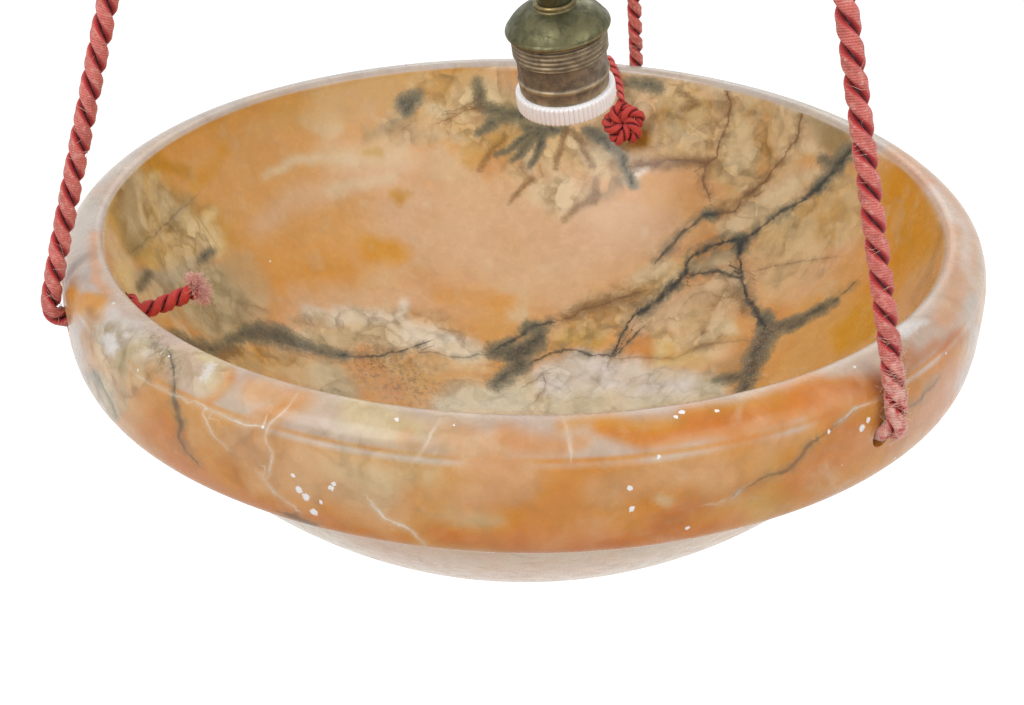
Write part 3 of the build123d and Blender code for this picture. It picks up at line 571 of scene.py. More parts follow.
# tone, strength, softness, then points across, down and half width
HOLLOW_STROKES = [
    ("peach", 0.9, 60, (190, 150, 40), (260, 215, 60), (330, 250, 50)),
    ("tan", 0.85, 30, (215, 118, 20), (330, 98, 20), (470, 84, 14)),
    ("caramel", 0.55, 25, (150, 165, 12), (220, 125, 12), (290, 100, 6)),
    ("rose beige", 0.95, 55, (420, 225, 40), (560, 240, 60), (655, 235, 20)),
    ("rose beige", 0.75, 22, (262, 222, 6), (330, 190, 8), (430, 155, 8)),
    ("cream", 0.55, 20, (330, 160, 10), (400, 148, 10)),
    ("caramel", 0.6, 30, (250, 262, 16), (330, 284, 20)),
    ("caramel", 0.75, 16, (368, 254, 8), (392, 247, 9)),
    ("caramel", 0.45, 22, (262, 310, 12), (285, 296, 10)),
    ("rose beige", 0.7, 25, (300, 306, 10), (400, 300, 14), (470, 300, 10)),
    ("caramel", 0.55, 15, (440, 292, 6), (505, 306, 9)),
    ("olive yellow", 0.95, 28, (130, 205, 26), (165, 232, 32), (200, 236, 18)),
    ("ochre", 0.8, 9, (146, 178, 9), (160, 170, 6), (190, 172, 4)),
    ("ochre", 0.6, 9, (205, 214, 6), (219, 226, 5), (232, 238, 3)),
    ("ochre", 0.55, 12, (168, 237, 9), (150, 240, 6)),
    ("moss", 0.8, 14, (131, 190, 10), (128, 215, 12), (132, 246, 10)),
    ("moss", 0.45, 9, (178, 205, 7), (194, 199, 5)),
    ("pale yellow", 0.8, 7, (156, 184, 5)),
    ("pale yellow", 0.8, 7, (170, 202, 5)),
    ("pale yellow", 0.8, 12, (182, 236, 8), (215, 240, 9)),
    ("umber", 0.45, 6, (113, 214, 2), (124, 195, 3), (138, 182, 2)),
    ("pale yellow", 0.8, 10, (122, 272, 7), (131, 284, 9)),
    ("grey green", 0.9, 20, (178, 282, 20), (206, 296, 34), (222, 312, 26)),
    ("grey green", 0.5, 18, (238, 262, 12), (252, 300, 12)),
    ("slate", 0.7, 9, (142, 274, 6), (158, 277, 5), (190, 268, 5)),
    ("slate", 0.5, 10, (165, 290, 7), (202, 258, 4)),
    ("tan", 0.9, 14, (214, 362, 10), (262, 360, 12), (300, 368, 9)),
    ("pale green", 0.85, 12, (322, 378, 9), (338, 388, 10)),
    ("chalk", 0.85, 9, (302, 314, 4), (332, 318, 6), (372, 317, 4)),
    ("cream", 0.9, 12, (306, 338, 8), (342, 338, 9), (388, 336, 10)),
    ("chalk", 0.85, 12, (398, 332, 9), (436, 336, 12), (466, 348, 12)),
    ("tan", 0.8, 16, (378, 372, 16), (414, 384, 16)),
    ("rust", 0.35, 12, (366, 366, 8), (398, 392, 8)),
    ("pale green", 0.95, 16, (455, 400, 12), (520, 396, 18), (600, 392, 24), (665, 388, 20), (720, 392, 8)),
    ("chalk", 0.6, 14, (592, 368, 12), (628, 396, 10)),
    ("cream", 0.6, 14, (640, 372, 10), (690, 384, 8)),
    ("olive yellow", 0.3, 8, (526, 380, 4), (548, 398, 4)),
    ("tan", 0.9, 9, (574, 330, 9), (600, 322, 13), (628, 302, 8), (660, 282, 6), (684, 262, 6)),
    ("olive yellow", 0.6, 8, (566, 338, 6), (596, 340, 8)),
    ("caramel", 0.7, 8, (590, 310, 5), (612, 314, 6), (626, 304, 3)),
    ("umber", 0.35, 8, (604, 312, 5), (622, 300, 3)),
    ("rose beige", 0.95, 12, (642, 332, 9), (668, 312, 14), (700, 300, 16), (724, 286, 9)),
    ("pale yellow", 0.95, 11, (700, 316, 12), (722, 332, 14), (706, 352, 12), (664, 352, 8)),
    ("cream", 0.85, 8, (704, 322, 6), (728, 330, 7)),
    ("ochre", 0.45, 6, (692, 306, 2), (712, 301, 3), (742, 298, 4)),
    ("olive", 0.55, 8, (716, 372, 4), (738, 366, 6), (752, 348, 4)),
    ("ochre", 0.35, 6, (690, 358, 4), (712, 362, 5)),
    ("grey green", 0.85, 6, (694, 266, 5), (714, 258, 7), (731, 252, 5)),
    ("cream", 0.5, 5, (708, 263, 3), (728, 262, 3)),
    ("cream", 0.6, 9, (640, 276, 4), (656, 268, 5), (662, 262, 3)),
    ("tan", 0.9, 26, (762, 262, 12), (800, 232, 26), (838, 205, 30)),
    ("pale yellow", 0.5, 18, (770, 290, 8), (792, 262, 14), (790, 212, 10)),
    ("rose beige", 0.5, 14, (792, 300, 6), (818, 276, 8)),
    ("peach", 0.9, 22, (790, 368, 16), (822, 330, 14), (858, 296, 12)),
    ("honey", 0.9, 16, (842, 340, 10), (866, 322, 14)),
    ("caramel", 0.85, 30, (880, 285, 14), (905, 230, 24), (902, 180, 18)),
    ("honey", 0.4, 26, (895, 190, 14), (915, 240, 12)),
    ("umber", 0.35, 8, (938, 225, 2), (932, 275, 3), (915, 305, 2)),
    ("cream", 0.75, 14, (726, 226, 6), (768, 206, 8), (810, 174, 6)),
    ("peach", 0.5, 18, (662, 190, 14), (690, 182, 14)),
    ("ochre", 0.85, 16, (650, 140, 12), (690, 112, 20), (676, 148, 14)),
    ("olive yellow", 0.6, 12, (664, 100, 8), (690, 106, 10)),
    ("pale yellow", 0.4, 10, (666, 132, 8), (672, 118, 5)),
    ("tan", 0.9, 18, (742, 112, 16), (772, 128, 18), (784, 158, 12)),
    ("pale yellow", 0.7, 14, (738, 128, 9), (724, 172, 9), (752, 160, 7)),
    ("ochre", 0.7, 8, (768, 104, 4), (764, 128, 5), (770, 152, 4)),
    ("ochre", 0.5, 8, (700, 160, 6), (728, 186, 4), (770, 178, 5)),
    ("moss", 0.75, 12, (808, 120, 9), (830, 138, 12)),
    ("cream", 0.6, 6, (806, 146, 4), (818, 150, 4)),
    ("tan", 0.85, 16, (400, 118, 12), (440, 92, 14), (462, 76, 8)),
    ("ochre", 0.7, 8, (446, 66, 4), (458, 70, 4)),
    ("cream", 0.85, 7, (434, 110, 7), (448, 112, 6)),
    ("pale yellow", 0.8, 7, (466, 98, 6), (468, 112, 5)),
    ("moss", 0.85, 14, (480, 92, 8), (502, 104, 16), (524, 114, 12), (490, 120, 9)),
    ("pale yellow", 0.7, 6, (486, 96, 4), (496, 98, 4)),
    ("tan", 0.8, 12, (460, 128, 8), (478, 142, 10), (470, 160, 6)),
    ("olive yellow", 0.8, 14, (500, 140, 10), (545, 148, 16), (590, 150, 16)),
    ("cream", 0.75, 9, (530, 154, 5), (527, 172, 5)),
    ("cream", 0.8, 9, (572, 136, 6), (588, 146, 7), (606, 166, 6)),
    ("tan", 0.5, 8, (548, 148, 5), (543, 170, 5)),
    ("tan", 0.6, 8, (568, 156, 5), (586, 170, 6)),
    ("cream", 0.85, 12, (536, 196, 9), (556, 200, 13), (562, 184, 8)),
    ("cream", 0.8, 7, (580, 196, 5), (588, 192, 4)),
    ("moss", 0.8, 9, (598, 132, 8), (616, 152, 7), (626, 168, 6)),
    ("grey green", 0.7, 10, (624, 92, 10), (652, 86, 8)),
    ("umber", 0.45, 9, (630, 84, 6), (655, 84, 5)),
    ("chalk", 0.85, 5, (632, 171, 4), (649, 168, 3)),
    ("slate", 0.75, 6, (618, 176, 5), (634, 182, 4)),
    ("caramel", 0.5, 7, (318, 159, 3), (330, 157, 3)),
    ("olive yellow", 0.7, 5, (366, 149, 3), (384, 150, 3)),
    ("ochre", 0.8, 7, (396, 194, 5), (404, 200, 4)),
    ("honey", 0.8, 14, (372, 246, 10), (392, 250, 10)),
    ("cream", 0.7, 8, (268, 176, 3), (300, 166, 4), (332, 158, 3), (352, 160, 3)),
    ("cream", 0.55, 9, (330, 190, 4), (366, 186, 5), (392, 176, 4)),
    ("moss", 0.5, 8, (366, 134, 4), (400, 130, 5), (436, 134, 5)),
    ("honey", 0.7, 10, (222, 154, 6), (208, 168, 5), (200, 184, 5)),
    ("pale yellow", 0.8, 8, (176, 232, 6), (196, 226, 6), (214, 216, 4)),
    ("slate", 0.6, 8, (146, 276, 5), (170, 278, 6), (196, 262, 5), (208, 252, 4)),
    ("chalk", 0.8, 8, (330, 316, 5), (364, 322, 6), (396, 318, 5), (404, 306, 3)),
    ("chalk", 0.7, 10, (404, 338, 8), (448, 346, 9), (480, 350, 6)),
    ("honey", 0.6, 12, (244, 356, 8), (272, 362, 8)),
    ("grey green", 0.6, 10, (328, 370, 8), (350, 388, 9)),
    ("lip white", 0.85, 16, (548, 378, 12), (600, 372, 16), (650, 378, 12), (690, 386, 8)),
    ("pale green", 0.6, 12, (470, 400, 10), (520, 402, 8)),
    ("layer", 0.7, 12, (700, 330, 12), (716, 344, 12), (690, 318, 10)),
    ("honey", 0.5, 6, (668, 352, 3), (700, 344, 4), (740, 340, 3)),
    ("layer", 0.5, 26, (690, 140, 20), (742, 168, 18)),
    ("rose beige", 0.5, 30, (805, 262, 20), (690, 300, 18), (720, 352, 14)),
    ("rose beige", 0.4, 34, (520, 150, 24), (600, 200, 20)),
]
# the same, on the band and the lip
BAND_STROKES = [
    # the pale grey strokes on the lip are painted reflection and highlight along the polished lip
    ("lip grey", 0.95, 14, (86, 210, 12), (84, 250, 12), (88, 288, 8)),
    ("lip pink", 0.7, 7, (92, 238, 4), (97, 268, 4), (105, 290, 3)),
    ("lip grey", 0.95, 16, (104, 172, 10), (160, 122, 10), (240, 90, 10), (340, 68, 10), (520, 58, 10),
     (700, 70, 10), (820, 106, 10), (890, 142, 8)),
    ("lip pink", 0.65, 14, (900, 150, 8), (950, 210, 12), (962, 262, 14), (944, 318, 10)),
    ("lip white", 0.5, 8, (930, 190, 4), (960, 230, 4), (968, 280, 3)),
    ("caramel", 0.85, 10, (72, 292, 6), (94, 306, 12), (104, 322, 7)),
    ("umber", 0.4, 6, (90, 312, 3), (97, 322, 3)),
    ("lip white", 0.8, 12, (112, 318, 9), (112, 350, 9), (130, 330, 10), (146, 344, 7)),
    ("grey green", 0.75, 7, (150, 338, 4), (132, 350, 5), (121, 362, 4), (122, 374, 3)),
    ("slate", 0.7, 7, (153, 340, 4), (160, 346, 4), (170, 354, 3)),
    ("lip grey", 0.8, 16, (76, 330, 8), (82, 372, 10), (98, 408, 7)),
    ("caramel", 0.4, 8, (86, 340, 3), (92, 356, 3), (100, 384, 4)),
    ("slate", 0.55, 8, (94, 374, 3), (104, 390, 4), (114, 412, 3)),
    ("band peach", 0.8, 20, (146, 378, 14), (150, 400, 14), (160, 470, 20), (230, 470, 20)),
    ("band orange", 0.6, 16, (152, 424, 10), (176, 436, 9)),
    ("cream", 0.85, 8, (196, 360, 5), (214, 368, 6), (207, 384, 6)),
    ("cream", 0.6, 6, (208, 366, 3), (232, 368, 3)),
    ("band orange", 0.75, 8, (226, 378, 5), (214, 398, 4), (204, 404, 3)),
    ("band pink", 0.85, 16, (252, 392, 10), (300, 404, 10), (236, 442, 10), (258, 452, 8)),
    ("band orange", 0.7, 8, (294, 408, 4), (276, 420, 4)),
    ("rust", 0.45, 9, (224, 458, 3), (240, 474, 4), (246, 486, 3)),
    ("band orange", 0.7, 18, (170, 462, 8), (220, 502, 10), (290, 510, 9), (400, 543, 8)),
    ("cream", 0.75, 18, (352, 412, 14), (390, 424, 14), (418, 428, 8)),
    ("band peach", 0.5, 12, (404, 438, 8), (416, 446, 5)),
    ("cream", 0.5, 22, (345, 468, 12), (384, 476, 14)),
    ("band pink", 0.85, 22, (440, 434, 8), (480, 460, 22), (520, 478, 22), (470, 500, 12)),
    ("band orange", 0.55, 12, (505, 436, 8), (545, 444, 9), (580, 444, 6)),
    ("band orange", 0.85, 12, (598, 430, 6), (645, 436, 10), (700, 428, 9), (760, 414, 8)),
    ("caramel", 0.6, 12, (560, 424, 4), (660, 420, 4), (780, 398, 6)),
    ("band orange", 0.85, 15, (430, 534, 6), (480, 542, 9), (560, 546, 10), (640, 540, 8), (740, 520, 8)),
    ("rust", 0.4, 8, (440, 546, 3), (540, 552, 3), (620, 547, 3)),
    ("band pink", 0.6, 18, (600, 494, 14), (650, 478, 12), (720, 470, 12)),
    ("cream", 0.55, 5, (664, 499, 4), (672, 502, 4)),
    ("rust", 0.5, 12, (660, 522, 6), (700, 502, 6), (760, 484, 4)),
    ("band orange", 0.8, 18, (690, 420, 10), (740, 430, 14), (800, 408, 14), (850, 388, 12), (868, 392, 8)),
    ("band orange", 0.6, 26, (180, 470, 16), (240, 500, 14), (330, 520, 12)),
    ("rust", 0.7, 14, (812, 398, 6), (850, 384, 8), (884, 376, 8), (906, 360, 5)),
    ("rust", 0.6, 8, (906, 372, 3), (936, 352, 4), (966, 330, 4)),
    ("lip white", 0.8, 6, (900, 334, 4), (920, 324, 4)),
    ("tan", 0.6, 24, (780, 480, 14), (850, 450, 14), (760, 505, 9)),
    ("lip pink", 0.75, 18, (900, 440, 10), (930, 410, 12), (955, 370, 10)),
    ("lip grey", 0.7, 10, (974, 300, 5), (974, 350, 5), (960, 386, 5)),
    ("umber", 0.5, 5, (848, 426, 2), (862, 424, 2)),
    ("band orange", 0.8, 30, (815, 400, 20), (860, 440, 22), (800, 480, 18)),
    ("band orange", 0.6, 26, (160, 440, 14), (200, 480, 14)),
]
# tone, height and radius of an edge paled by wear and by painted highlight, and how far from it the paling
# reaches
WORN_AND_HIGHLIT_EDGES = (("chalk", 0.9, 175.4, 2.0), ("lip white", -5.7, 191.9, 1.6))
MASS_KINDS = ("dark", "brown", "white", "grain")
# wide masses with ragged edges: kind, softness, points
HOLLOW_MASSES = [
    ("dark", 6, (492, 352, 4), (508, 352, 9), (520, 362, 9), (510, 372, 6), (496, 384, 4)),
    ("dark", 5, (528, 328, 4), (540, 330, 5), (538, 342, 7), (522, 352, 8)),
    ("dark", 6, (228, 342, 3), (244, 334, 5), (260, 332, 8), (278, 335, 8), (292, 342, 5), (312, 349, 3),
     (344, 356, 2)),
    ("dark", 6, (170, 336, 4), (188, 344, 5), (212, 350, 5), (232, 348, 3)),
    ("dark", 5, (768, 318, 5), (768, 332, 9), (760, 348, 8), (752, 366, 7), (742, 392, 6)),
    ("dark", 4, (776, 328, 5), (792, 324, 5), (806, 317, 3), (822, 309, 4), (834, 301, 2)),
    ("dark", 5, (730, 380, 2), (718, 380, 2), (744, 376, 4)),
    ("dark", 6, (824, 160, 3), (834, 165, 5), (846, 154, 4), (852, 147, 3)),
    ("dark", 5, (838, 162, 4), (826, 178, 3), (818, 189, 3)),
    ("dark", 5, (741, 240, 5), (740, 246, 4)),
    ("dark", 6, (403, 104, 4), (410, 99, 5), (416, 95, 3), (406, 109, 4)),
    ("dark", 6, (478, 84, 2), (480, 106, 3), (500, 112, 3), (524, 116, 5)),
    ("dark", 5, (479, 132, 2), (490, 124, 3), (506, 116, 2)),
    ("dark", 3, (535, 132, 3), (520, 142, 3), (508, 150, 2.5), (496, 156, 1)),
    ("dark", 3, (540, 132, 3), (525, 147, 3), (512, 161, 1.5)),
    ("dark", 3, (544, 132, 3), (540, 147, 3), (531, 165, 1.5)),
    ("dark", 5, (528, 128, 4), (545, 130, 5), (562, 130, 3)),
    ("dark", 4, (587, 130, 3), (605, 140, 3.5), (620, 155, 3), (625, 167, 3.5), (633, 184, 2)),
    ("dark", 6, (632, 82, 3), (657, 87, 3)),
    ("dark", 4, (140, 287, 3), (148, 275, 3)),
    ("dark", 4, (204, 257, 3), (212, 252, 2)),
    ("dark", 5, (716, 214, 3), (708, 214, 3)),
    ("brown", 3, (566, 130, 3), (561, 147, 2.5), (555, 168, 1.5)),
    ("brown", 3, (572, 130, 2), (582, 144, 2), (592, 166, 2)),
    ("brown", 3, (531, 180, 2), (520, 190, 1.5), (510, 202, 1)),
    ("brown", 4, (597, 178, 2), (593, 200, 2.5), (577, 207, 1.5), (564, 220, 1)),
    ("brown", 4, (680, 92, 2), (697, 104, 3), (682, 110, 2)),
    ("brown", 5, (504, 138, 2), (492, 150, 2), (481, 168, 1)),
    ("brown", 8, (640, 305, 3), (616, 300, 4), (594, 304, 3), (572, 314, 2)),
    ("brown", 8, (744, 310, 3), (742, 296, 4), (730, 292, 3)),
    ("brown", 6, (636, 164, 3), (664, 162, 3), (706, 163, 3)),
    ("brown", 6, (226, 356, 5), (238, 352, 4)),
    ("grain", 14, (374, 366, 16), (400, 380, 20), (424, 392, 14)),
    ("grain", 10, (770, 330, 6), (758, 352, 7), (748, 378, 6)),
]
# the same, on the band and the lip
BAND_MASSES = [
    ("white", 5, (112, 348, 6), (108, 340, 4)),
    ("white", 5, (212, 366, 4), (206, 378, 4)),
    ("white", 5, (904, 333, 4), (918, 325, 3)),
    ("grain", 10, (155, 344, 8), (172, 362, 4)),
]
# where the stone is crackled and layered: amount, softness, points
HOLLOW_CRACKLE = [
    (1.0, 30, (486, 92, 14), (560, 118, 26), (620, 112, 24), (700, 112, 30), (770, 132, 28)),
    (0.9, 22, (530, 160, 20), (600, 165, 20), (560, 196, 10)),
    (1.0, 24, (740, 150, 24), (790, 196, 20), (730, 222, 12)),
    (1.0, 14, (660, 330, 10), (700, 318, 28), (722, 290, 16)),
    (0.5, 18, (450, 398, 12), (530, 392, 18), (620, 385, 24), (700, 388, 18)),
    (0.6, 24, (770, 262, 16), (800, 245, 28), (840, 210, 22)),
    (1.0, 22, (135, 200, 16), (150, 215, 22), (185, 240, 26)),
    (0.8, 18, (150, 285, 12), (205, 296, 26), (240, 312, 14)),
    (0.8, 16, (400, 128, 10), (440, 104, 26), (470, 130, 12)),
    (0.8, 14, (300, 330, 10), (350, 330, 14), (440, 342, 26), (480, 356, 8)),
    (0.8, 12, (574, 326, 16), (620, 308, 16), (664, 276, 12)),
    (0.7, 14, (220, 358, 12), (290, 364, 10), (330, 382, 12)),
]
# the same, on the band and the dome
BAND_CRACKLE = [
    (0.9, 16, (118, 350, 16), (150, 360, 14), (112, 392, 12)),
    (0.6, 14, (96, 345, 10), (130, 345, 14), (206, 380, 16)),
    (0.4, 20, (430, 425, 20), (380, 470, 30), (250, 460, 20), (300, 490, 16)),
]
# thin lines: kind, depth of colour, points
HOLLOW_LINES = [
    ("dark", 0.9, (853, 147, 2.2), (836, 168, 2.6), (820, 188, 3), (800, 202, 1.6), (779, 214, 1.4),
     (757, 231, 1.8), (744, 240, 2.4)),
    ("dark", 0.95, (742, 241, 2.4), (727, 240, 2), (709, 248, 1.8), (695, 254, 2.2), (687, 265, 2.2),
     (686, 274, 2.8), (670, 288, 3), (652, 304, 2.8), (638, 313, 2.2), (628, 322, 1.4), (620, 338, 1.2),
     (614, 352, 0.8)),
    ("dark", 0.95, (740, 242, 3), (740, 272, 2.2), (745, 291, 2.4), (752, 307, 2.8), (762, 322, 3.6)),
    ("dark", 0.8, (688, 275, 1.6), (705, 273, 1.3), (725, 272, 1.6), (740, 278, 1.8)),
    ("dark", 0.6, (836, 300, 1.6), (846, 290, 1.1), (854, 283, 0.8)),
    ("brown", 0.85, (802, 110, 1), (800, 124, 1.2), (798, 136, 1), (790, 148, 1), (780, 161, 1.4),
     (768, 177, 1), (757, 188, 1.2), (744, 199, 1), (733, 210, 1.3), (718, 214, 2)),
    ("dark", 0.8, (716, 214, 2), (708, 214, 2), (694, 223, 1.2), (679, 236, 1.3), (668, 249, 1.6),
     (657, 261, 1.2)),
    ("brown", 0.85, (727, 96, 1), (731, 108, 1.3), (727, 123, 1.2), (720, 142, 1.3), (715, 158, 1.5),
     (706, 165, 1.8), (703, 181, 1.6), (708, 193, 1)),
    ("brown", 0.8, (706, 163, 1.6), (683, 160, 1.2), (662, 163, 1.6), (636, 166, 1.2)),
    ("dark", 0.8, (551, 322, 1.4), (534, 327, 1.6), (514, 340, 1.4), (494, 350, 1)),
    ("dark", 0.75, (640, 330, 0.8), (614, 356, 1), (590, 354, 1), (567, 349, 1.4), (549, 354, 1.2),
     (530, 364, 1)),
    ("brown", 0.8, (638, 292, 1), (627, 296, 1.4), (612, 302, 1.3), (585, 309, 1.2), (567, 318, 1)),
    ("brown", 0.35, (613, 357, 0.8), (672, 359, 1), (696, 348, 1.2), (725, 341, 1.2), (752, 341, 0.8)),
    ("dark", 0.45, (420, 352, 0.6), (446, 356, 0.7), (470, 358, 0.6), (492, 352, 0.8)),
    ("dark", 0.35, (134, 249, 0.8), (159, 230, 0.8), (191, 201, 0.7)),
    ("dark", 0.75, (344, 356, 1.6), (372, 356, 0.9), (400, 352, 0.8), (424, 344, 0.6)),
    ("brown", 0.5, (528, 384, 0.6), (542, 374, 0.7), (546, 392, 0.7), (530, 404, 0.6)),
    ("brown", 0.45, (760, 270, 0.6), (800, 262, 0.5), (830, 258, 0.8)),
    ("brown", 0.4, (450, 110, 0.8), (470, 106, 0.9), (478, 98, 0.9)),
    ("brown", 0.7, (444, 120, 0.8), (462, 112, 1), (478, 108, 1)),
]
# the same, on the band
BAND_LINES = [
    ("dark", 0.6, (170, 354, 1.2), (175, 371, 1), (173, 391, 1), (177, 411, 1.8), (181, 424, 2),
     (179, 436, 1), (186, 451, 1.2), (198, 463, 1)),
    ("dark", 0.5, (93, 371, 1.4), (103, 387, 2), (112, 403, 1.8), (116, 416, 1)),
    ("dark", 0.45, (855, 410, 0.7), (830, 430, 1), (810, 443, 1.2), (801, 456, 1.4), (790, 467, 1.6),
     (777, 474, 1.2), (764, 477, 0.9), (748, 485, 0.7), (730, 497, 0.6)),
    ("dark", 0.45, (938, 379, 1), (929, 389, 1.4), (920, 400, 1.2), (909, 408, 1)),
    ("dark", 0.5, (285, 514, 1.4), (300, 520, 2), (318, 527, 1.6)),
    ("pale", 0.7, (295, 399, 1), (283, 413, 1), (269, 426, 1.2), (265, 440, 0.9), (271, 456, 1),
     (269, 475, 1)),
    ("pale", 0.7, (261, 475, 1), (275, 493, 1.3), (294, 508, 1.2)),
    ("pale", 0.6, (203, 416, 0.8), (214, 436, 0.8), (225, 445, 0.8)),
    ("pale", 0.75, (371, 502, 0.9), (384, 518, 1), (410, 530, 1), (424, 544, 1)),
    ("pale", 0.45, (439, 421, 1.4), (428, 440, 1.4), (417, 459, 1.4)),
    ("pale", 0.5, (564, 420, 1.4), (570, 440, 1.6), (572, 456, 1.2)),
    ("pale", 0.45, (138, 376, 0.8), (160, 388, 0.8), (184, 400, 0.8)),
    ("pale", 0.8, (196, 402, 0.6), (226, 417, 0.8), (240, 424, 0.8), (263, 427, 0.6)),
    ("pale", 0.5, (874, 402, 0.8), (852, 410, 1.2), (838, 424, 1)),
    ("pale", 0.45, (744, 487, 0.8), (730, 499, 1.4), (712, 504, 1)),
]
# white knocks and specks: across, down and radius in millimetres
CHIPS = [
    (293, 475, 0.9), (299, 490, 1.6), (306, 497, 1.7), (321, 502, 0.9), (314, 512, 1.7), (331, 488, 1.2),
    (334, 484, 1.0), (138, 370, 0.6), (161, 353, 0.5), (169, 356, 0.5), (114, 303, 0.6), (84, 321, 0.5),
    (630, 488, 1.0), (632, 509, 1.2), (688, 528, 0.9), (676, 417, 0.9), (682, 412, 1.1), (397, 419, 0.8),
    (454, 425, 0.5), (717, 411, 0.8), (855, 367, 0.8), (946, 353, 0.6), (895, 458, 0.6), (842, 465, 0.4),
    (862, 428, 1.6), (868, 420, 1.2), (829, 432, 0.7), (659, 457, 0.9), (270, 261, 0.6), (263, 427, 0.6),
]
LINE_REACH = 13.0  # how far from a thin line, in picture points, its numbers are kept


def distance_to(where, line):
    """Distance and side of each picture place from a drawn line, and the line's half width there."""
    points = np.array(line if len(line) > 1 else [line[0], (line[0][0] + 0.1, *line[0][1:])], float)
    nearest = np.full(len(where), 1e6)
    side, width = np.ones(len(where)), np.ones(len(where))
    for start, end in zip(points, points[1:]):
        run = end[:2] - start[:2]
        off = where - start[:2]
        share = np.clip(off @ run / (run @ run), 0, 1)
        gap = np.linalg.norm(off - share[:, None] * run, axis=1)
        closer = gap < nearest
        nearest = np.where(closer, gap, nearest)
        turn = run[0] * off[:, 1] - run[1] * off[:, 0]
        side = np.where(closer, np.sign(turn) + (turn == 0), side)
        width = np.where(closer, start[2] + share * (end[2] - start[2]), width)
    return nearest, side, width


def reached(where, line, margin, allowed):
    """Numbers of the allowed places within a margin of a line's box, and their distance_to the line."""
    points = np.array(line, float)
    reach = points[:, 2].max() + margin
    low, high = points[:, :2].min(0) - reach, points[:, :2].max(0) + reach
    picked = np.flatnonzero(((where > low) & (where < high)).all(1) & allowed)
    return picked, *distance_to(where[picked], line)


def vivid(colours, saturation, level):
    """The colours as the stone has them under its polish, which mirrors the pale studio and greys them."""
    grey = (colours @ np.array((0.21, 0.72, 0.07)))[:, None]
    return np.clip((grey + (colours - grey) * saturation) * level - 0.006, 0.004, 0.95)


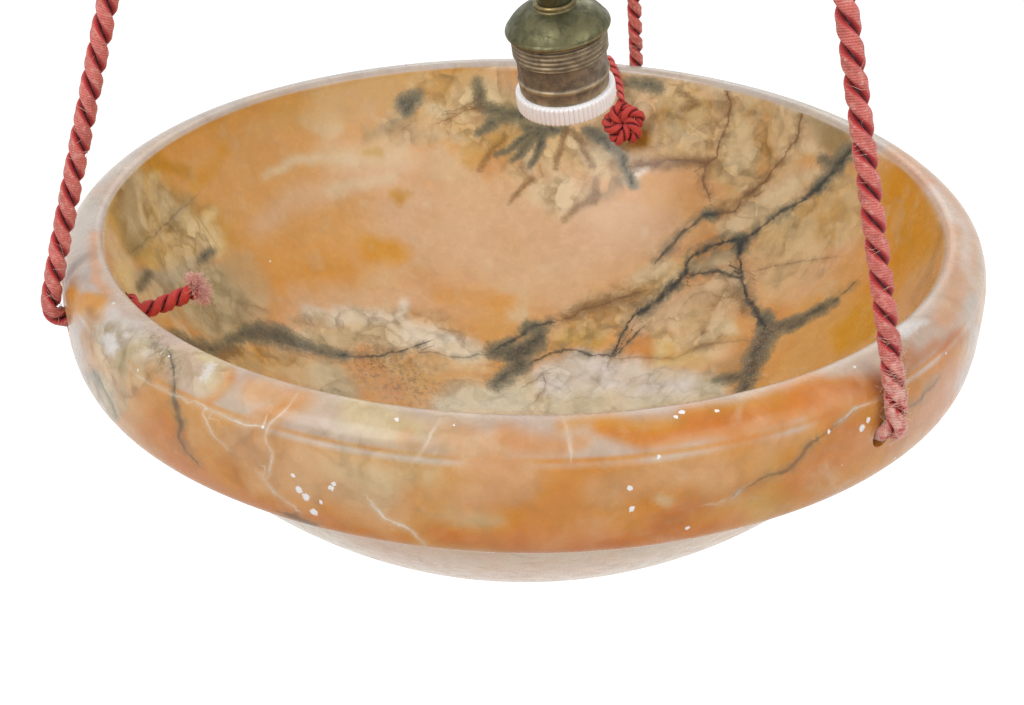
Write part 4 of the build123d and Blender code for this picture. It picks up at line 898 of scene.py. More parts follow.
def stone_numbers(places, normals):
    """The stone's colour, masses, lines, unseen share and crackle at each vertex of the bowl."""
    count = len(places)
    flat = places / MM + (0, 0, RIM_DROP)
    from_axis = np.hypot(flat[:, 0], flat[:, 1])
    to_sphere = np.sqrt(from_axis**2 + (flat[:, 2] - HOLLOW_CENTRE_Z) ** 2) - HOLLOW_SPHERE_R
    hollow = (np.abs(to_sphere) < 0.9) & (flat[:, 2] < 1.0)
    dome = (flat[:, 2] < STEP_Z + 0.9) & ~hollow
    band = ~hollow & ~dome
    sight = places - np.array(CAMERA_PLACE)
    sight /= np.linalg.norm(sight, axis=1)[:, None]
    seen = np.where(hollow, 1.0, spread(-(sight * normals).sum(1), -0.02, 0.1))
    where = in_picture(places)
    soft_where = where + (drifting(places, 26, 9.0, 1.0) + drifting(places, 9, 4.0, 5.0))
    line_where = where + (drifting(places, 7, 2.2, 9.0) + drifting(places, 2.6, 1.2, 12.0))

    def tone(name):
        return np.array(TONES[name])

    def cloudy(scale, shift):
        spots = (Vector(place) * scale + Vector(shift) for place in places)
        return np.array([noise.fractal(spot, 1.0, 2.2, 4) for spot in spots])

    # colours: clouds of the ground, the lip's top greyed by a painted reflection, the pale edges of wear and
    # painted highlight, then the strokes
    cloud, patch = cloudy(14, (0, 0, 0)), cloudy(22, (4, 1, 7))
    tint = np.where(hollow[:, None], tone("peach"), tone("band peach"))
    for name, field, low, high in (
        ("band pink", cloud, 0.05, 0.5), ("band orange", -cloud, 0.1, 0.6), ("cream", patch, 0.3, 0.7),
    ):
        tint += (tone(name) - tint) * (spread(field, low, high) * 0.7)[:, None]
    pink = spread(cloud, -0.2, 0.5)[:, None]
    dome_tint = tone("dome pale") + (tone("dome pink") - tone("dome pale")) * pink
    tint = np.where(dome[:, None], dome_tint, tint)
    # painted reflection: the lip's top is greyed towards the pale studio that its polish mirrors
    lip_top_reflection = ~hollow & (flat[:, 2] > -3.5)
    tint = np.where(lip_top_reflection[:, None], tint * 0.25 + tone("lip grey") * 0.75, tint)
    # painted highlight along the lip's inner and outer edges, mixed with wear
    for name, height, radius, reach in WORN_AND_HIGHLIT_EDGES:
        gap = np.hypot(flat[:, 2] - height, from_axis - radius)
        share = (1 - spread(gap, 0.2, reach)) * (0.35 + 0.65 * spread(patch, -0.35, 0.3))
        tint += (tone(name) - tint) * share[:, None] * 0.75
    for strokes, allowed in ((HOLLOW_STROKES, hollow), (BAND_STROKES, band)):
        for name, strength, soft, *line in strokes:
            picked, gap, _, width = reached(soft_where, line, soft, allowed)
            share = (1 - spread(gap - width, -soft * 0.5, soft * 0.85)) * seen[picked]
            tint[picked] += (tone(name) - tint[picked]) * min(1.0, strength * 1.1) * share[:, None]
    tint = np.where(hollow[:, None], vivid(tint, 1.2, 1.04), vivid(tint, 1.42, 0.88))

    masses = np.zeros((count, len(MASS_KINDS)))
    for strokes, allowed in ((HOLLOW_MASSES, hollow), (BAND_MASSES, band)):
        for kind, soft, *line in strokes:
            picked, gap, _, width = reached(line_where, line, soft * 2, allowed)
            value = (1 - spread(gap - width, -soft, soft * 2)) * seen[picked]
            channel = MASS_KINDS.index(kind)
            masses[picked, channel] = np.maximum(masses[picked, channel], value)

    # lines: side and distance of the nearest one, its strength, half width and darkness
    thin, pale = np.zeros((count, 4)), np.zeros((count, 4))
    thin[:, 0] = pale[:, 0] = LINE_REACH
    closest = {"thin": np.full(count, 1e6), "pale": np.full(count, 1e6)}
    for strokes, allowed in ((HOLLOW_LINES, hollow), (BAND_LINES, band)):
        for kind, depth, *line in strokes:
            picked, gap, side, width = reached(line_where, line, LINE_REACH + 4, allowed)
            table, name = (pale, "pale") if kind == "pale" else (thin, "thin")
            better = gap < closest[name][picked]
            picked, gap, side, width = picked[better], gap[better], side[better], width[better]
            closest[name][picked] = gap
            table[picked, 0] = np.clip(gap * side, -LINE_REACH, LINE_REACH)
            table[picked, 1] = (1 - spread(gap, 0.5 * LINE_REACH, LINE_REACH)) * seen[picked] * depth
            table[picked, 2] = width
            table[picked, 3] = 1.0 if kind == "dark" else 0.0

    unseen = np.where(dome, 0.4, np.where(hollow, 0.0, 1 - seen))
    crackle = np.where(dome, 0.16, np.where(hollow, 0.12, 0.2 + 0.4 * (1 - seen)))
    for strokes, allowed in ((HOLLOW_CRACKLE, hollow), (BAND_CRACKLE, ~hollow)):
        for amount, soft, *line in strokes:
            picked, gap, _, width = reached(soft_where, line, soft, allowed)
            share = amount * (1 - spread(gap - width, 0, soft)) * seen[picked]
            crackle[picked] = np.maximum(crackle[picked], share)
    return {
        "tint": np.concatenate([tint, np.ones((count, 1))], 1), "masses": masses, "thin": thin, "pale": pale,
        "unseen": unseen, "crackle": crackle,
    }


def arc(first, middle, last, count):
    """Points of the arc through three (radius, height) points, without its first point."""
    (ax, ay), (bx, by), (cx, cy) = first, middle, last
    twice = 2 * (ax * (by - cy) + bx * (cy - ay) + cx * (ay - by))
    a2, b2, c2 = ax * ax + ay * ay, bx * bx + by * by, cx * cx + cy * cy
    x = (a2 * (by - cy) + b2 * (cy - ay) + c2 * (ay - by)) / twice
    y = (a2 * (cx - bx) + b2 * (ax - cx) + c2 * (bx - ax)) / twice
    radius = math.hypot(ax - x, ay - y)
    start, end = math.atan2(ay - y, ax - x), math.atan2(cy - y, cx - x)
    turn = (end - start + math.pi) % FULL_TURN - math.pi
    marks = [start + turn * (number + 1) / count for number in range(count)]
    return [(x + radius * math.cos(mark), y + radius * math.sin(mark)) for mark in marks]


BOWL_SEGMENTS, HOLLOW_RINGS, DOME_RINGS, BAND_RING_GAP = 660, 146, 75, 1.6
HOLE_SIDES, HOLE_FROM_R, HOLE_TO_R = 40, 145.0, 206.0


def bowl_profile():
    """Radius and height of the bowl's rings, from the hollow's pole over the lip to the dome's pole."""
    start, end = math.atan2(1.5, HOLLOW_SPHERE_R), math.asin(RIM_INNER_R / HOLLOW_SPHERE_R)
    rings = []
    for number in range(HOLLOW_RINGS + 1):
        lean = start + (end - start) * number / HOLLOW_RINGS
        rings.append((HOLLOW_SPHERE_R * math.sin(lean), HOLLOW_CENTRE_Z - HOLLOW_SPHERE_R * math.cos(lean)))
    rings += arc((RIM_INNER_R, 0), LIP_INNER_BULGE, LIP_CREST, 7)
    rings += arc(LIP_CREST, LIP_OUTER_BULGE, LIP_EDGE, 12)
    for before, after in zip([LIP_EDGE, *BAND_SIDE], BAND_SIDE):
        parts = max(1, round(math.dist(before, after) / BAND_RING_GAP))
        for part in range(parts):
            share = (part + 1) / parts
            rings.append([near + (far - near) * share for near, far in zip(before, after)])
    rings += [(radius, STEP_Z) for radius in STEP_RADII]
    rings += [(DOME_R + 0.8, STEP_Z), (DOME_R, STEP_Z - 0.4)]
    depth = STEP_Z - DOME_POLE_Z
    sphere_r = (DOME_R**2 + depth**2) / (2 * depth)
    first, last = math.asin(DOME_R / sphere_r) - 0.006, 0.008
    for number in range(DOME_RINGS + 1):
        lean = first + (last - first) * number / DOME_RINGS
        rings.append((sphere_r * math.sin(lean), DOME_POLE_Z + sphere_r * (1 - math.cos(lean))))
    return rings


def hole_cutter(radius, end, azimuth, height):
    """A cylinder along a rope hole, from inside the hollow to a radius from the bowl's axis."""
    shape = bmesh.new()
    size = {"radius1": radius * MM, "radius2": radius * MM, "depth": (end - HOLE_FROM_R) * MM}
    bmesh.ops.create_cone(shape, cap_ends=True, segments=HOLE_SIDES, **size)
    data = bpy.data.meshes.new("cutter")
    shape.to_mesh(data)
    shape.free()
    cutter = put_in_scene("cutter", data)
    outward = rim_place(1, azimuth, RIM_DROP) / MM
    middle = Matrix.Translation(rim_place((HOLE_FROM_R + end) / 2, azimuth, height))
    cutter.matrix_world = middle @ outward.to_track_quat("Z", "Y").to_matrix().to_4x4()
    return cutter


def build_bowl(material):
    """The stone bowl: its rings, slightly out of true as hand turning leaves them, and its rope holes."""
    places = []
    for radius, height in bowl_profile():
        for segment in range(BOWL_SEGMENTS):
            turn = FULL_TURN * segment / BOWL_SEGMENTS
            at = Vector((radius * math.cos(turn), radius * math.sin(turn), height))
            give = min(1.0, radius / 150)
            out = radius + noise.noise(at * 0.011 + Vector((3, 8, 1))) * 0.35 * give
            lift = noise.noise(at * 0.016 + Vector((9, 2, 5))) * 0.25 * give
            places.append((out * math.cos(turn), out * math.sin(turn), height + lift))
    rows = len(places) // BOWL_SEGMENTS
    faces = [face[::-1] for face in grid_faces(rows, BOWL_SEGMENTS)]
    top, bottom = len(places), len(places) + 1
    places += [(0, 0, HOLLOW_POLE_Z), (0, 0, DOME_POLE_Z)]
    last = (rows - 1) * BOWL_SEGMENTS
    for segment in range(BOWL_SEGMENTS):
        beside = (segment + 1) % BOWL_SEGMENTS
        faces += [(top, segment, beside), (bottom, last + beside, last + segment)]
    whole = make_mesh("alabaster_bowl_stone", (np.array(places) - (0, 0, RIM_DROP)) * MM, faces)
    item = put_in_scene("alabaster_bowl_stone", whole)
    cutters = []
    for side, (azimuth, height) in HOLES.items():
        cutters.append(hole_cutter(HOLE_R, HOLE_TO_R, azimuth, height))
        if side == "left":
            cutters.append(hole_cutter(POCKET_R, POCKET_END_R, azimuth, height))
    for cutter in cutters:
        cut = item.modifiers.new("hole", "BOOLEAN")
        cut.operation, cut.solver, cut.object = "DIFFERENCE", "MANIFOLD", cutter
    data = shape_with_modifiers(item)
    item.modifiers.clear()
    item.data = data
    data.name = "alabaster_bowl_stone"
    bpy.data.meshes.remove(whole)
    for cutter in cutters:
        bpy.data.objects.remove(cutter)
    spots, normals = np.zeros((2, len(data.vertices) * 3))
    data.vertices.foreach_get("co", spots)
    data.vertices.foreach_get("normal", normals)
    for name, values in stone_numbers(spots.reshape(-1, 3), normals.reshape(-1, 3)).items():
        keep_numbers(data, name, values)
    data.materials.clear()
    data.materials.append(material)
    data.shade_smooth()
    data.set_sharp_from_angle(angle=math.radians(50))
    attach(item, "pendant")
    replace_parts(item, "alabaster_bowl")
    return item


def finish_stone(g, item):
    """Polished alabaster: cloudy ground, layered patches, smoky masses, soft veins and white knocks."""
    *_, tint = g.attribute("tint")
    dark, brown, white, grain, _ = g.attribute("masses")
    thin_line, pale_line = g.attribute("thin")[:4], g.attribute("pale")[:3]
    unseen, crackle = g.attribute("unseen")[0], g.attribute("crackle")[0]
    broad = g.noise(30, 5, 0.6)
    clouds = g.noise(17, 6, 0.62, 0.6, offset=(0.4, 0.1, 0.2))
    middle = g.noise(5.5, 4, 0.6)
    other = g.noise(6.5, 4, 0.6, 0.8, offset=(0.1, 0.7, 0.3))
    fine = g.noise(1.5, 3, 0.6)
    dust = g.noise(0.6, 2, 0.5)

    def shade(share, colour, tone):
        """The colour multiplied by a tone where the share is high."""
        return g.mix(share, colour, tone, "MULTIPLY")

    # ground: slow clouds, then layered patches with darker edges where the stone is crackled
    colour = shade(g.smooth(broad, 0.5, 0.72, 0, 0.5), tint, (0.94, 0.84, 0.68))
    colour = g.mix(g.smooth(clouds, 0.54, 0.74, 0, 0.3), colour, TONES["cream"])
    colour = shade(g.smooth(other, 0.56, 0.76, 0, 0.45), colour, (0.96, 0.88, 0.74))
    colour = shade(g.smooth(middle + fine * 0.4, 0.45, 0.95, 0.35, 0), colour, (0.8, 0.76, 0.68))
    for size, reach, depth, cracked in ((30, 16, 0.55, 0.35), (12, 8, 0.25, 0.05)):
        edge, number = g.cells(size, g.warped(size * 0.3, reach * 0.35, g.warped(size, reach)))
        amount = crackle * depth
        colour = g.mix(amount * g.smooth(number, 0.45, 0.95, 0, 0.5), colour, TONES["layer"])
        colour = shade(amount * g.smooth(number, 0.45, 0.05, 0, 0.75), colour, (0.86, 0.72, 0.45))
        soft = amount * g.smooth(edge, 0.0, 0.24, 0.75, 0)
        colour = shade(soft * g.smooth(other, 0.36, 0.6), colour, (0.62, 0.55, 0.36))
        crack = amount * g.smooth(edge, 0.004, 0.04, cracked, 0)
        colour = g.mix(crack * g.smooth(middle, 0.52, 0.66), colour, TONES["bark"])

    # smoky veils that fold over each other, each with one soft and one crisp side
    colour = g.mix(crackle * 0.08, colour, TONES["layer"])
    for size, reach, name, strength in (
        (26, 16, "smoke", 0.45), (15, 12, "olive", 0.5), (34, 20, "bark", 0.5),
    ):
        fold = g.noise(size, 2, 0.45, where=g.warped(size * 1.5, reach), offset=(size, 0.2, 0.5))
        veil = crackle * strength * (g.smooth(fold, 0.38, 0.5) * g.smooth(fold, 0.5, 0.512, 1, 0))
        colour = g.mix(veil * g.smooth(clouds, 0.38, 0.6, 0.25, 1), colour, TONES[name])
        colour = g.mix(crackle * 0.3 * g.smooth(fold, 0.505, 0.6), colour, TONES["layer"])

    # masses: a wide smoky edge round a blotched core
    ragged = (middle - 0.5) * 0.8 + (fine - 0.5) * 0.8

    def torn(mass):
        return (mass + ragged) * g.smooth(mass, 0.02, 0.25)

    smoke = torn(dark)
    colour = g.mix(g.smooth(smoke, 0.05, 0.75, 0, 0.85), colour, TONES["smoke"])
    stain = g.mix(g.smooth(fine, 0.42, 0.62), TONES["ink"], TONES["charcoal"])
    dark_share = g.smooth(smoke, 0.62, 1.25, 0, 0.9)
    colour = g.mix(dark_share, colour, stain)
    colour = g.mix(g.smooth(torn(brown), 0.1, 1.1, 0, 0.85), colour, TONES["bark"])
    colour = g.mix(g.smooth(torn(white), 0.35, 1.0, 0, 0.6), colour, TONES["lip white"])
    mottle = grain * g.smooth(g.noise(2.6, 4, 0.7, offset=(0.3, 0.2, 0.9)), 0.49, 0.6)
    colour = g.mix(mottle * 0.6, colour, TONES["bark"])
    specks = grain * g.smooth(dust, 0.62, 0.68)
    colour = g.mix(specks * 0.7, colour, TONES["lip white"])

    # lines: a core and the glow round it
    shake = (middle - 0.5) * 3.8, (fine - 0.5) * 1.8

    def core_and_glow(side, strength, half, reach):
        gap = abs(side + shake[0] + shake[1])
        half = half * g.smooth(other, 0.3, 0.7, 0.5, 1.9)
        core = strength * g.smooth(gap, 0.0, half * 1.6, 1, 0)
        return core, strength * g.smooth(gap, 0.0, half * reach + 3.0, 1, 0)

    side, near, width, darkness = thin_line
    core, glow = core_and_glow(side, near, width, 4.6)
    halo = g.mix(darkness, TONES["bark"], TONES["smoke"])
    colour = g.mix(glow * g.smooth(other, 0.3, 0.65, 0.35, 0.8), colour, halo)
    core = core * g.smooth(middle, 0.3, 0.55, 0.6, 1.0)
    colour = g.mix(core, colour, g.mix(darkness, TONES["umber"], TONES["ink"]))
    light_core, light_glow = core_and_glow(*pale_line, 3.0)
    colour = g.mix(light_glow * 0.3, colour, TONES["cream"])
    colour = g.mix(light_core * g.smooth(clouds, 0.4, 0.62, 0.15, 0.75), colour, TONES["chalk"])

    # the side that the photograph doesn't show
    ridge = abs(g.noise(46, 4, 0.55, 1.4, offset=(0.9, 0.3, 0.6)) - 0.5)
    unseen = unseen * g.smooth(broad, 0.42, 0.6)
    colour = g.mix(unseen * g.smooth(ridge, 0.0, 0.05, 0.6, 0), colour, TONES["rust"])
    colour = g.mix(unseen * g.smooth(ridge, 0.0, 0.016, 0.8, 0), colour, TONES["smoke"])

    knocks = None
    shaken = g.warped(1.2, 0.8)
    for across, down, radius in CHIPS:
        hit, place, _, _ = item.ray_cast(CAMERA_PLACE, sight_line(across, down))
        if hit:
            share = g.near(shaken, place, radius * 0.7 * MM, radius * MM)
            knocks = g.math("MAXIMUM", knocks, share) if knocks else share
    colour = g.mix(knocks, colour, TONES["knock"])

    rough = g.smooth(middle, 0.3, 0.75, 0.2, 0.33) + dark_share * 0.18 + knocks * 0.3
    pits = fine * 0.35 + core * -0.8 + specks * -0.5
    g.set(Base_Color=colour, Roughness=rough, Normal=g.bump(pits, 0.12, 0.5), IOR=1.52,
          Specular_IOR_Level=0.34, Subsurface_Weight=0.1, Subsurface_Scale=3 * MM,
          Subsurface_Radius=(1.0, 0.6, 0.35))


THREAD_TURN = 0.95 * MM  # the wound thread's step along a strand
FRAYED_FROM, FRAYED_TO = 12 * MM, 42 * MM  # the right rope is worn pale this near its hole


def silk_material(name, faded, deep, fresh_colour):
    """Old twisted silk: wound threads, worn outside and still deep red in the grooves, with painted shade
    darkening the crease between the strands and the valleys between the threads.
    """
    g = new_material(name)
    groove, fresh = g.attribute("groove")[0], g.attribute("fresh")[0]
    along, around, *_ = g.attribute("thread")
    wave = g.math("SINE", (along / THREAD_TURN + around) * FULL_TURN)
    wave = g.math("MULTIPLY_ADD", wave, 0.5, 0.5)
    patches = g.noise(7, 4, 0.6)
    fibres = g.noise(0.7, 3, 0.7, 1.0)
    wear = g.noise(2.2, 4, 0.65, offset=(0.2, 0.4, 0.1))
    colour = g.mix(g.smooth(patches, 0.35, 0.7), linear(faded), linear(darker(faded, 0.86)))
    colour = g.mix(g.smooth(wear, 0.5, 0.7, 0, 0.75), colour, TONES["silk worn"])
    colour = g.mix(g.smooth(fresh, 0.1, 0.9), colour, linear(fresh_colour))
    frayed = g.near(g.warped(6, 3), rim_place(BEND_R, *HOLES["right"]), FRAYED_FROM, FRAYED_TO)
    frayed = frayed * g.smooth(wear, 0.36, 0.56)
    colour = g.mix(frayed * 0.85, colour, TONES["silk frayed"])
    groove = groove * (1.0 - frayed * 0.35)
    # the grooves: unfaded dye, darkened further into the crease by painted shade
    colour = g.mix(g.smooth(groove, 0.3, 0.6), colour, TONES["silk groove"])
    # painted shade: the valleys between the wound threads are darkened
    ribs = g.smooth(wave, 0.05, 0.6, 1, 0) * g.smooth(wear, 0.3, 0.62, 0.65, 0.2)
    colour = g.mix(ribs, colour, TONES["silk rib"])
    # painted shade: the deepest part of the crease between the strands
    colour = g.mix(g.smooth(groove, 0.58, 0.86), colour, linear(deep))
    colour = g.mix(g.smooth(fibres, 0.36, 0.52, 0.5, 0), colour, TONES["silk fibre"])
    g.set(Base_Color=colour, Roughness=g.smooth(fibres, 0.2, 0.8, 0.55, 0.8),
          Normal=g.bump(wave * 0.7 + fibres * 0.9, 0.26, 0.8), Sheen_Weight=0.25, Sheen_Roughness=0.4)
    return g.owner


def fuzz_material(name, root, tip):
    """Loose silk fibres, darker at their roots."""
    g = new_material(name)
    colour = g.mix(g.smooth(g.attribute("tip")[0], 0.1, 0.75), linear(root), linear(tip))
    colour = g.mix(g.smooth(g.noise(2.5, 2), 0.4, 0.7, 0, 0.4), colour, linear(root))
    g.set(Base_Color=colour, Roughness=0.8, Sheen_Weight=0.3)
    return g.owner


def metal_material(name, base, deep, bright, rough, metallic=0.85, size=6.0):
    """Old metal: patina in patches, fine scratches, and brighter metal where hands and edges rub."""
    g = new_material(name)
    patches = g.noise(size, 6, 0.65, 0.4)
    spots = g.noise(0.9, 3, 0.6)
    streaks = g.node("ShaderNodeMapping", {"Vector": g.place(), "Scale": (0.15, 0.15, 1.6)})
    lines = g.noise(0.8, 3, 0.6, where=streaks)
    colour = g.mix(g.smooth(patches, 0.35, 0.68), linear(base), linear(deep))
    colour = g.mix(g.smooth(spots, 0.55, 0.75, 0, 0.5), colour, linear(deep))
    rubbed = g.attribute("wear")[0] * g.smooth(patches, 0.25, 0.6, 1.0, 0.45)
    g.set(Base_Color=g.mix(rubbed, colour, linear(bright)), Metallic=metallic,
          Roughness=g.smooth(patches, 0.3, 0.7, rough - 0.06, rough + 0.14) + lines * 0.08,
          Normal=g.bump(spots * 0.5 + lines * 0.4, 0.05, 0.5))
    return g.owner


def porcelain_material():
    """Glazed white porcelain with a little grime."""
    g = new_material("porcelain")
    grime = g.noise(4, 5, 0.65)
    g.set(Base_Color=g.mix(g.smooth(grime, 0.54, 0.8, 0, 0.4), TONES["porcelain"], TONES["grime"]), IOR=1.5,
          Roughness=g.smooth(grime, 0.3, 0.8, 0.14, 0.3), Normal=g.bump(g.noise(1.5, 2), 0.04, 0.4),
          Subsurface_Weight=0.08, Subsurface_Scale=1.5 * MM)
    return g.owner


BRAID_STEP, BRAID_CARRIERS = 5 * MM, 8


def braid_material():
    """Woven cotton over a flex, with painted shade in the sunken cells of the weave."""
    g = new_material("braided_cotton")
    along, around, *_ = g.attribute("thread")
    along, around = along / BRAID_STEP, around * BRAID_CARRIERS
    left, right = g.math("SINE", (along + around) * FULL_TURN), g.math("SINE", (along - around) * FULL_TURN)
    weave = g.math("MULTIPLY_ADD", left * right, 0.5, 0.5)
    # painted shade: the sunken cells of the weave, where the bump is low, take the dark cotton
    colour = g.mix(g.smooth(weave, 0.25, 0.7), TONES["cotton dark"], TONES["cotton light"])
    colour = g.mix(g.smooth(g.noise(9, 4), 0.45, 0.75, 0, 0.5), colour, TONES["cotton dust"])
    g.set(Base_Color=colour, Roughness=0.75, Normal=g.bump(weave, 0.25, 0.7), Sheen_Weight=0.2)
    return g.owner


def plastic_material(name, colour):
    """Moulded plastic with a faint grain."""
    g = new_material(name)
    grain = g.noise(0.8, 3)
    shown = g.mix(g.smooth(g.noise(6, 4), 0.4, 0.7, 0, 0.35), linear(colour), linear(darker(colour, 0.8)))
    g.set(Base_Color=shown, Roughness=g.smooth(grain, 0.3, 0.7, 0.4, 0.55), Normal=g.bump(grain, 0.05, 0.5))
    return g.owner


# ---------------------------------------------------------------- stone bowl
stone = new_material("alabaster")
finish_stone(stone, build_bowl(stone.owner))

# ---------------------------------------------------------------- silk ropes, knots and loose threads
SILK = silk_material("rope_silk", (232, 128, 116), (120, 20, 26), (204, 62, 52))
FUZZ = fuzz_material("silk_fibres", (184, 62, 58), (244, 192, 178))
PALE_FUZZ = fuzz_material("pale_silk_fibres", (206, 120, 108), (238, 208, 188))
ROPE_STEP, TIE_STEP, FLEX_STEP = 0.9 * MM, 0.7 * MM, 1.6 * MM
ROPE_PITCH, TAIL_PITCH, TIE_PITCH = 21.0 * MM, 13.0 * MM, 11 * MM
STRAIGHT_OVER_LIP = 6  # rope diameters that the rope runs straight above the lip
KNOT_POINTS = 300
KNOT_PITCH = 2.6  # cord diameters


def rope_controls(side):
    """The route's points from part.py, with one more a few diameters over the lip."""
    azimuth, height = HOLES[side]
    turn = math.radians(azimuth)
    top = Vector((ROPE_TOP_R * math.cos(turn), ROPE_TOP_R * math.sin(turn), SOCKET_Z)) * MM
    rest = rim_place(EDGE_REST_R, azimuth, EDGE_REST_Z)
    over = rest + (top - rest).normalized() * STRAIGHT_OVER_LIP * ROPE_D * MM
    route = [top, over, rest, rim_place(BEND_R, azimuth, height)]
    if side == "left":
        return [*route, rim_place(*KNOTS[side]), *(under_rim(*point) for point in LEFT_TAIL)]
    return [*route, rim_place(INSIDE_R, azimuth, height), rim_place(*KNOTS[side])]


def knot_line(side, middle, swing, lift, lean):
    """Closed centre line of a rosette-shaped stopper knot with five loops."""
    radius, azimuth, height = KNOTS[side]
    turn = math.radians(azimuth)
    inward = -Vector((math.cos(turn), math.sin(turn), lean)).normalized()
    across = Vector((-math.sin(turn), math.cos(turn), 0))
    upward = inward.cross(across)
    centre = rim_place(radius, azimuth, height)
    points = []
    for number in range(KNOT_POINTS):
        mark = 2 * FULL_TURN * number / KNOT_POINTS
        out = middle + swing * math.cos(2.5 * mark)
        at = across * out * math.cos(mark) + upward * out * math.sin(mark)
        points.append(centre + (at + inward * lift * math.sin(2.5 * mark)) * MM)
    return np.array(points)


knots = {}
# side: the rosette's middle radius, its swing and lift, its lean and the cord's diameter
for side, (*shape, cord_d) in {
    "back": (6.3, 3.3, 2.7, -0.35, 5.2), "right": (4.5, 2.4, 2.0, -0.35, 4.0),
    "left": (2.9, 1.5, 1.3, 0.0, 3.0),
}.items():
    line = knot_line(side, *shape)
    parts = strands(line, run_along(line), cord_d * MM, cord_d * KNOT_PITCH * MM, 0.08, closed=True)
    data = strand_mesh(f"knot_{side}_silk", parts, np.full(len(parts[0]), 0.85))
    knots[side] = add_object(f"knot_{side}_silk", data, SILK, "pendant")
    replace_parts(knots[side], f"knot_{side}")

rope_lines = {}
for side in HOLES:
    line, marks = rope_lines[side] = evenly(smooth_line(f"line_{side}", rope_controls(side)), ROPE_STEP)
    past_lip = np.where(np.hypot(line[:, 0], line[:, 1]) / MM > EDGE_REST_R - 1, marks, 0).max()
    inside = spread(marks, past_lip + 14 * MM, past_lip + 24 * MM)
    diameter = (ROPE_D + (TAIL_D - ROPE_D) * inside) * MM
    parts = strands(line, marks, diameter, ROPE_PITCH + (TAIL_PITCH - ROPE_PITCH) * inside, 0.05)
    data = strand_mesh(f"rope_{side}_silk", parts, np.tile(inside, len(parts[0]) // len(line)))
    rope = add_object(f"rope_{side}_silk", data, SILK, "pendant")
    replaced = ["rope_left", "tail_left"] if side == "left" else [f"rope_{side}"]
    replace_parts(rope, *replaced)

TIE_ROUTE = [(158.5, 71.0, -9.0), (167.0, 72.0, -4.0), (173.0, 73.8, 3.2), (180.0, 75.2, 6.6),
             (190.0, 76.2, 2.6), (196.0, 76.8, -8.0), (197.0, 77.2, -24.0)]
tie_line, tie_marks = evenly(smooth_line("line_tie", [rim_place(*point) for point in TIE_ROUTE]), TIE_STEP)
parts = strands(tie_line, tie_marks, TIE_D * MM, TIE_PITCH, 0.08)
tie_data = strand_mesh("knot_back_end", parts, np.full(len(parts[0]), 0.6))
tie = add_object("knot_back_end", tie_data, SILK, "pendant")

WRAP_POINTS, TUFT_POINTS = 10, 7


def wrapped_threads(side, count, start, end, lift, crowd):
    """Loose threads round a rope, between two distances from where it enters its hole."""
    line, marks = rope_lines[side]
    across, ups = frames_along(line)
    mouth = marks[np.argmax(np.hypot(line[:, 0], line[:, 1]))]
    shares = np.linspace(0, 1, WRAP_POINTS)
    paths = []
    for _ in range(count):
        at = mouth + (start + (end - start) * RNG.random() ** crowd) * MM
        turn, span = RNG.uniform(0, FULL_TURN), RNG.uniform(0.6, 3.4) * RNG.choice([-1, 1])
        travel = RNG.uniform(-4, 5) * MM
        rise = RNG.uniform(0.2, 1.0) * lift
        path = []
        for share in shares:
            row = int(np.clip(np.searchsorted(marks, at + travel * share), 0, len(line) - 1))
            angle = turn + span * share
            radius = (ROPE_D / 2 - 0.25 + rise * share**3 + RNG.uniform(-0.05, 0.1)) * MM
            path.append(line[row] + (across[row] * math.cos(angle) + ups[row] * math.sin(angle)) * radius)
        path = np.array(path)
        path[1:-1] = (path[:-2] + path[1:-1] * 2 + path[2:]) / 4
        paths.append(path + shares[:, None] * RNG.normal(0, 0.35 * MM, 3))
    return paths


# side: count of threads, where they start and end, how far they lift and how they crowd towards the start
for side, groups in {
    "right": [(90, -130, -6, 0.9, 0.5), (150, -34, 7, 1.8, 0.8)],
    "left": [(40, -120, -6, 0.7, 0.7), (36, -16, 10, 1.2, 0.8)],
    "back": [(16, -60, -4, 0.8, 0.7)],
}.items():
    paths = [path for group in groups for path in wrapped_threads(side, *group)]
    thin_threads(f"rope_{side}_threads", paths, 0.09 * MM, PALE_FUZZ, 4)


def tuft(count, reach, wide):
    """The brush of fibres at the left rope's cut end."""
    line, _ = rope_lines["left"]
    axis = Vector(line[-1] - line[-8]).normalized()
    across = axis.cross(Vector((0, 0, 1))).normalized()
    upward = across.cross(axis)
    paths = []
    for _ in range(count):
        turn, out = RNG.uniform(0, FULL_TURN), math.sqrt(RNG.random())
        side_way = across * math.cos(turn) * 0.75 + upward * math.sin(turn) * 1.15
        length = reach * RNG.uniform(0.55, 1.0) * (1.05 - 0.35 * out)
        place = Vector(line[-1]) - axis * 2.2 * MM + side_way * out * 2.4 * MM
        heading = (axis * (1.25 - 0.6 * out) + side_way * out * wide).normalized()
        path = []
        for _ in range(TUFT_POINTS):
            path.append(tuple(place))
            heading = (heading + Vector(RNG.normal(0, 0.24, 3))).normalized()
            place = place + heading * length * MM / (TUFT_POINTS - 1)
        paths.append(path)
    return paths


thin_threads("rope_left_tuft", tuft(900, 8.8, 2.1), 0.11 * MM, FUZZ, 3)

# ---------------------------------------------------------------- flex
FLEX_SIDES = 24
flex_curve = smooth_line("line_flex", [under_rim(*point) for point in FLEX_ROUTE])
flex_line, flex_marks = evenly(flex_curve, FLEX_STEP)
places, faces = tube(flex_line, [FLEX_D / 2 * MM] * len(flex_line), FLEX_SIDES)
plain = np.zeros(len(places))
parts = (places, faces, plain, np.repeat(flex_marks, FLEX_SIDES),
         np.tile(np.arange(FLEX_SIDES) / FLEX_SIDES, len(flex_line)))
data = strand_mesh("flex_braid", parts, plain)
flex = add_object("flex_braid", data, braid_material(), "lamp")
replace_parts(flex, "flex")

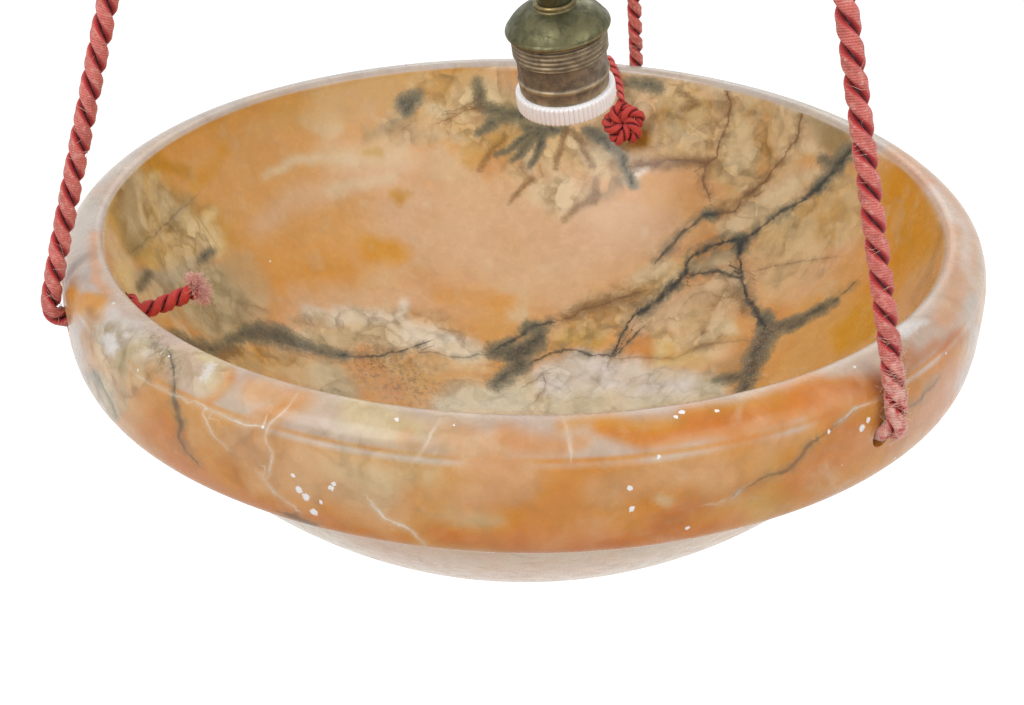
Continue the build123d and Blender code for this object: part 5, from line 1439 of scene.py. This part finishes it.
# ---------------------------------------------------------------- lampholder
CAP_BRASS = metal_material("cap_brass", (100, 99, 72), (66, 68, 50), (150, 128, 84), 0.36)
BODY_BRASS = metal_material("body_brass", (134, 122, 108), (88, 80, 72), (188, 166, 124), 0.46, metallic=0.6)
PORCELAIN = porcelain_material()
THREAD_START_W, THREAD_END_W, THREAD_PITCH, THREAD_RINGS = 20.0, 30.2, 2.04, 66
THREAD_LENGTH = THREAD_END_W - THREAD_START_W
THREAD_ROOT_R, THREAD_DEPTH = 19.25, 1.15
RING_RIBS, RIB_DEPTH = 64, 0.85


def body_radius(radius, height, turn):
    """The coarse thread round the upper half of the lampholder's body."""
    if radius < 19.15 or not THREAD_START_W < height < THREAD_END_W:
        return radius
    phase = ((height - THREAD_START_W) / THREAD_PITCH - turn / FULL_TURN) % 1.0
    ridge = max(0.0, math.sin(math.pi * phase)) ** 0.7
    fade = min(1.0, (height - THREAD_START_W) / 1.1, (THREAD_END_W - height) / 0.9)
    return THREAD_ROOT_R + THREAD_DEPTH * ridge * fade


def fluted(radius, height, turn):
    """The porcelain ring's ribs."""
    if radius < 19.0:
        return radius
    return radius - RIB_DEPTH * (1 - abs(math.cos(turn * RING_RIBS / 2)) ** 0.6)


def worn(points, wear):
    return [(radius, height, wear) for radius, height in points]


body_outline = [
    *rounded([(17.7, 4.4, 0.2), (19.3, 4.4, 0.8), (19.45, 9.2, 0.1), (19.95, 9.9, 0.9), (19.95, 10.9, 0.9),
              (19.2, 11.6, 0.1), (19.2, 19.9, 0.15)], 0.45),
    *((19.2, THREAD_START_W + THREAD_LENGTH * number / THREAD_RINGS, 0.35 + 0.3 * (number % 2))
      for number in range(THREAD_RINGS + 1)),
    *rounded([(19.2, 30.3, 0.2), (19.2, 30.8, 0.2), (18.6, 30.8, 0.1), (18.6, 34.4, 0.1),
              (17.7, 34.4, 0.1)], 0.2),
]
lathe("holder_body_brass", body_outline, BODY_BRASS, "holder_body", "socket", 180, body_radius)
cap_outline = [
    *rounded([(20.8, 32.6, 0.1), (20.8, 31.3, 0.6), (21.9, 31.3, 1.0), (22.3, 32.1, 0.7), (21.9, 33.0, 0.2),
              (21.5, 33.25, 0.1)], 0.35),
    *worn(arc((21.5, 33.25), (17.4, 38.0), (9.5, 41.6), 26), 0.12),
    *rounded([(9.4, 41.65, 0.2), (8.9, 42.0, 0.6), (8.9, 43.4, 0.9), (8.3, 44.0, 0.8), (6.0, 44.0, 0.3),
              (6.0, 40.4, 0.0), (8.9, 40.2, 0.0)], 0.3),
    *worn(arc((8.9, 40.2), (16.4, 36.9), (20.8, 32.7), 16), 0.0),
]
lathe("holder_cap_brass", cap_outline, CAP_BRASS, "holder_cap", "lamp")
ring_outline = rounded(worn(
    [(15.4, 9.0), (15.4, -4.2), (20.7, -4.2), (21.6, -3.3), (21.6, 3.3), (20.7, 4.2), (17.6, 4.2),
     (17.6, 9.2), (15.5, 9.2)], 0.0), 0.8)
lathe("porcelain_ring_fluted", ring_outline, PORCELAIN, "porcelain_ring", "shade_ring",
      RING_RIBS * 10, fluted)

# ---------------------------------------------------------------- materials of the CAD pieces that stay
ROSE_BRASS = metal_material("rose_brass", (168, 132, 76), (112, 86, 52), (206, 166, 96), 0.34, size=14)
CONTACT_BRASS = metal_material("contact_brass", (184, 152, 92), (140, 112, 66), (214, 180, 112), 0.3)
STEEL = metal_material("hook_steel", (120, 118, 114), (72, 68, 64), (170, 166, 160), 0.42)
SCREW = metal_material("screw_copper", (172, 120, 98), (120, 84, 66), (206, 160, 130), 0.34)
BLACK = plastic_material("bush_black", (34, 32, 31))
for finish, nodes in (
    (STEEL, ("mounting_plate", "hook_locknut", "ceiling_hook")),
    (ROSE_BRASS, ("ceiling_cup", "cup_nut", "suspension_ring", "collar_eye", "rope_collar")),
    (CONTACT_BRASS, ("terminal_screws", "screw_shell", "centre_contact", "contact_screws")),
    (PORCELAIN, ("terminal_block", "porcelain_core")),
    (CAP_BRASS, ("cord_grip",)), (SCREW, ("grip_screw",)), (BLACK, ("flex_bush",)),
):
    for name in nodes:
        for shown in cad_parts[name].material_slots:
            shown.material = finish

# ---------------------------------------------------------------- floor, world and lamps
FLOOR_Z, FLOOR_HALF, FLOOR_GLOW = -2.4, 20, 0.62
AMBIENT = 0.6
floor_mesh = make_mesh("floor", [
    (-FLOOR_HALF, -FLOOR_HALF, FLOOR_Z), (FLOOR_HALF, -FLOOR_HALF, FLOOR_Z),
    (FLOOR_HALF, FLOOR_HALF, FLOOR_Z), (-FLOOR_HALF, FLOOR_HALF, FLOOR_Z),
], [(0, 1, 2, 3)])
pale_floor = new_material("pale_floor")
floor_tone = pale_floor.mix(pale_floor.noise(400, 4), (0.78, 0.78, 0.78), (0.82, 0.82, 0.82))
pale_floor.set(Base_Color=floor_tone, Roughness=0.9, Emission_Color=(1, 1, 1),
               Emission_Strength=pale_floor.looked_at() * FLOOR_GLOW)
floor_mesh.materials.append(pale_floor.owner)
put_in_scene("floor", floor_mesh)

# the background is white where it is looked at, and lights the scene with AMBIENT
world = bpy.data.worlds.new("studio")
bpy.context.scene.world = world
backdrop = Graph(world)
feeds = {"Value": backdrop.looked_at(), "To Min": AMBIENT, "To Max": 1.0}
backdrop.set("Background", Color=(1, 1, 1), Strength=backdrop.node("ShaderNodeMapRange", feeds))

BOWL_MIDDLE = Vector((0, 0, -0.68))
# name: place, diameter and power
for name, (place, size, power) in {
    "key": ((-1.1, -1.1, 0.9), 1.2, 19), "fill": ((1.5, -1.2, 0.3), 1.6, 14),
    "back": ((0.3, 1.8, 0.6), 1.4, 8),
}.items():
    data = bpy.data.lights.new(name, "AREA")
    data.shape, data.size, data.energy = "DISK", size, power
    lamp = put_in_scene(name, data)
    lamp.location = place
    lamp.rotation_mode = "QUATERNION"
    lamp.rotation_quaternion = (BOWL_MIDDLE - Vector(place)).to_track_quat("-Z", "Y")

bpy.context.scene.view_settings.view_transform = "Standard"
